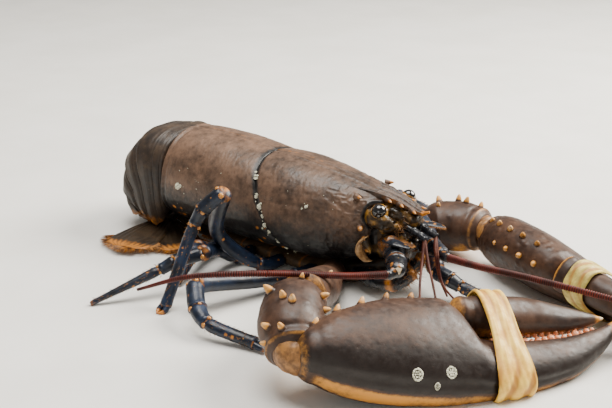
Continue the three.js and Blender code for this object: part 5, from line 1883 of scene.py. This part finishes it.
def build_camera():
    """The viewpoint of the photograph: its side, its height above the floor and its distance."""
    side, down = math.radians(VIEW_SIDE), math.radians(VIEW_DOWN)
    right = Vector((math.cos(side), math.sin(side), 0))
    back = Vector((math.sin(side) * math.cos(down), -math.cos(side) * math.cos(down), math.sin(down)))
    up = back.cross(right)
    target = Vector(place(VIEW_TARGET))
    eye = target + (back * VIEW_DISTANCE + right * VIEW_OFFSET[0] + up * VIEW_OFFSET[1]) * MM
    data = bpy.data.cameras.new("camera")
    data.sensor_width = 36
    data.lens = LENS
    data.clip_start = 0.01
    camera = bpy.data.objects.new("camera", data)
    camera.matrix_world = Matrix.Translation(eye) @ Matrix((right, up, back)).transposed().to_4x4()
    bpy.context.scene.collection.objects.link(camera)
    bpy.context.scene.camera = camera


# Add-on: settings, operators and panel

def colour_setting(name, text, value):
    return FloatVectorProperty(name=name, description=text, subtype="COLOR", size=4, min=0, max=1,
                               default=colour(value))


class LobsterLook(PropertyGroup):
    shell_dark: colour_setting("Shell dark", "Dark blotches of the carapace", 0x261D17)
    shell_light: colour_setting("Shell light", "Light blotches of the carapace", 0x765A47)
    claw_dark: colour_setting("Claw dark", "Dark blotches of the claws", 0x241610)
    claw_light: colour_setting("Claw light", "Light blotches of the claws", 0x583C2A)
    leg_dark: colour_setting("Leg dark", "Dark blotches of the walking legs", 0x080B12)
    leg_light: colour_setting("Leg light", "Light blotches of the walking legs", 0x20324E)
    amber: colour_setting("Amber", "Tips, rims and joints", 0xBE7726)
    whip: colour_setting("Whip", "Rings of the feelers", 0x662012)
    band_right: colour_setting("Right band", "Rubber band on the right claw", 0xF2C858)
    band_left: colour_setting("Left band", "Rubber band on the left claw", 0xDCC66A)
    sky: FloatProperty(name="Sky", description="Strength of the soft light from all sides", default=0.32,
                       min=0)
    lamps: FloatProperty(name="Lamps", description="Share of the lamps' power", default=1.0, min=0)


class LobsterSizes(PropertyGroup):
    ring_pitch: FloatProperty(
        name="Ring pitch", description="Distance between the rings of a feeler", subtype="DISTANCE",
        unit="LENGTH",
        default=1.0 * MM, min=0.3 * MM,
    )
    bristle_width: FloatProperty(
        name="Bristle width", description="Thickness of a bristle at its root", subtype="DISTANCE",
        unit="LENGTH",
        default=0.1 * MM, min=0.02 * MM,
    )
    crease_depth: FloatProperty(
        name="Crease depth", description="Depth of the creases in the rubber bands", subtype="DISTANCE",
        unit="LENGTH",
        default=0.8 * MM, min=0,
    )


MATERIALS = {}


def materials(context):
    """The lobster's materials, made once."""
    if not MATERIALS:
        MATERIALS.update(make_materials(context.scene.lobster_look))
    return MATERIALS


class LOBSTER_OT_stage(Operator):
    """Build the floor, the lamps and the camera"""

    bl_idname = "lobster.stage"
    bl_label = "Stage"

    def execute(self, context):
        build_floor()
        build_lights(context.scene.lobster_look)
        build_camera()
        return {"FINISHED"}


class LOBSTER_OT_head(Operator):
    """Build the head shield, the beak and their spines"""

    bl_idname = "lobster.head"
    bl_label = "Head shield"

    def execute(self, context):
        build_head(materials(context))
        return {"FINISHED"}


class LOBSTER_OT_thorax(Operator):
    """Build the shield over the thorax"""

    bl_idname = "lobster.thorax"
    bl_label = "Thorax shield"

    def execute(self, context):
        build_thorax(materials(context))
        return {"FINISHED"}


class LOBSTER_OT_tail(Operator):
    """Build the six tail plates and the fan"""

    bl_idname = "lobster.tail"
    bl_label = "Tail and fan"

    def execute(self, context):
        build_tail(materials(context))
        build_fan(materials(context))
        return {"FINISHED"}


class LOBSTER_OT_eyes(Operator):
    """Build the eyes and their stalks"""

    bl_idname = "lobster.eyes"
    bl_label = "Eyes"

    def execute(self, context):
        build_eyes(materials(context))
        return {"FINISHED"}


class LOBSTER_OT_face(Operator):
    """Build the belly, the face, the jaw legs and the bristles round the mouth"""

    bl_idname = "lobster.face"
    bl_label = "Face and belly"

    def execute(self, context):
        build_face(materials(context))
        return {"FINISHED"}


class LOBSTER_OT_feelers(Operator):
    """Build the long and short feelers, their roots and scales"""

    bl_idname = "lobster.feelers"
    bl_label = "Feelers"

    def execute(self, context):
        build_feelers(materials(context))
        return {"FINISHED"}


class LOBSTER_OT_claws(Operator):
    """Build the claws with their arms, teeth and rubber bands"""

    bl_idname = "lobster.claws"
    bl_label = "Claws"

    def execute(self, context):
        build_claws(materials(context))
        return {"FINISHED"}


class LOBSTER_OT_legs(Operator):
    """Build the eight walking legs"""

    bl_idname = "lobster.legs"
    bl_label = "Walking legs"

    def execute(self, context):
        build_legs(materials(context))
        return {"FINISHED"}


class LOBSTER_OT_specks(Operator):
    """Scatter the chalky specks on the shell"""

    bl_idname = "lobster.specks"
    bl_label = "Chalky specks"

    def execute(self, context):
        build_specks(materials(context))
        return {"FINISHED"}


OPERATORS = (
    LOBSTER_OT_stage,
    LOBSTER_OT_head,
    LOBSTER_OT_thorax,
    LOBSTER_OT_tail,
    LOBSTER_OT_eyes,
    LOBSTER_OT_face,
    LOBSTER_OT_feelers,
    LOBSTER_OT_claws,
    LOBSTER_OT_legs,
    LOBSTER_OT_specks,
)


class LOBSTER_PT_pieces(Panel):
    """Lists the settings and the pieces"""

    bl_label = "Lobster"
    bl_idname = "LOBSTER_PT_pieces"
    bl_space_type = "VIEW_3D"
    bl_region_type = "UI"
    bl_category = "Lobster"

    def draw(self, context):
        layout = self.layout
        for settings in (context.scene.lobster_look, context.scene.lobster_sizes):
            for name in settings.__annotations__:
                layout.prop(settings, name)
        for operator in OPERATORS:
            layout.operator(operator.bl_idname)


CLASSES = (LobsterLook, LobsterSizes, *OPERATORS, LOBSTER_PT_pieces)


def register():
    for one in CLASSES:
        bpy.utils.register_class(one)
    bpy.types.Scene.lobster_look = PointerProperty(type=LobsterLook)
    bpy.types.Scene.lobster_sizes = PointerProperty(type=LobsterSizes)


def unregister():
    del bpy.types.Scene.lobster_sizes
    del bpy.types.Scene.lobster_look
    for one in reversed(CLASSES):
        bpy.utils.unregister_class(one)


def main():
    register()
    for operator in OPERATORS:
        getattr(bpy.ops.lobster, operator.bl_idname.split(".")[1])()
    boxes = {"cad": CAD_BOX, "visual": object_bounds()}
    {key: [[float(v) for v in corner] for corner in box] for key, box in boxes.items()}


if __name__ == "__main__":
    main()
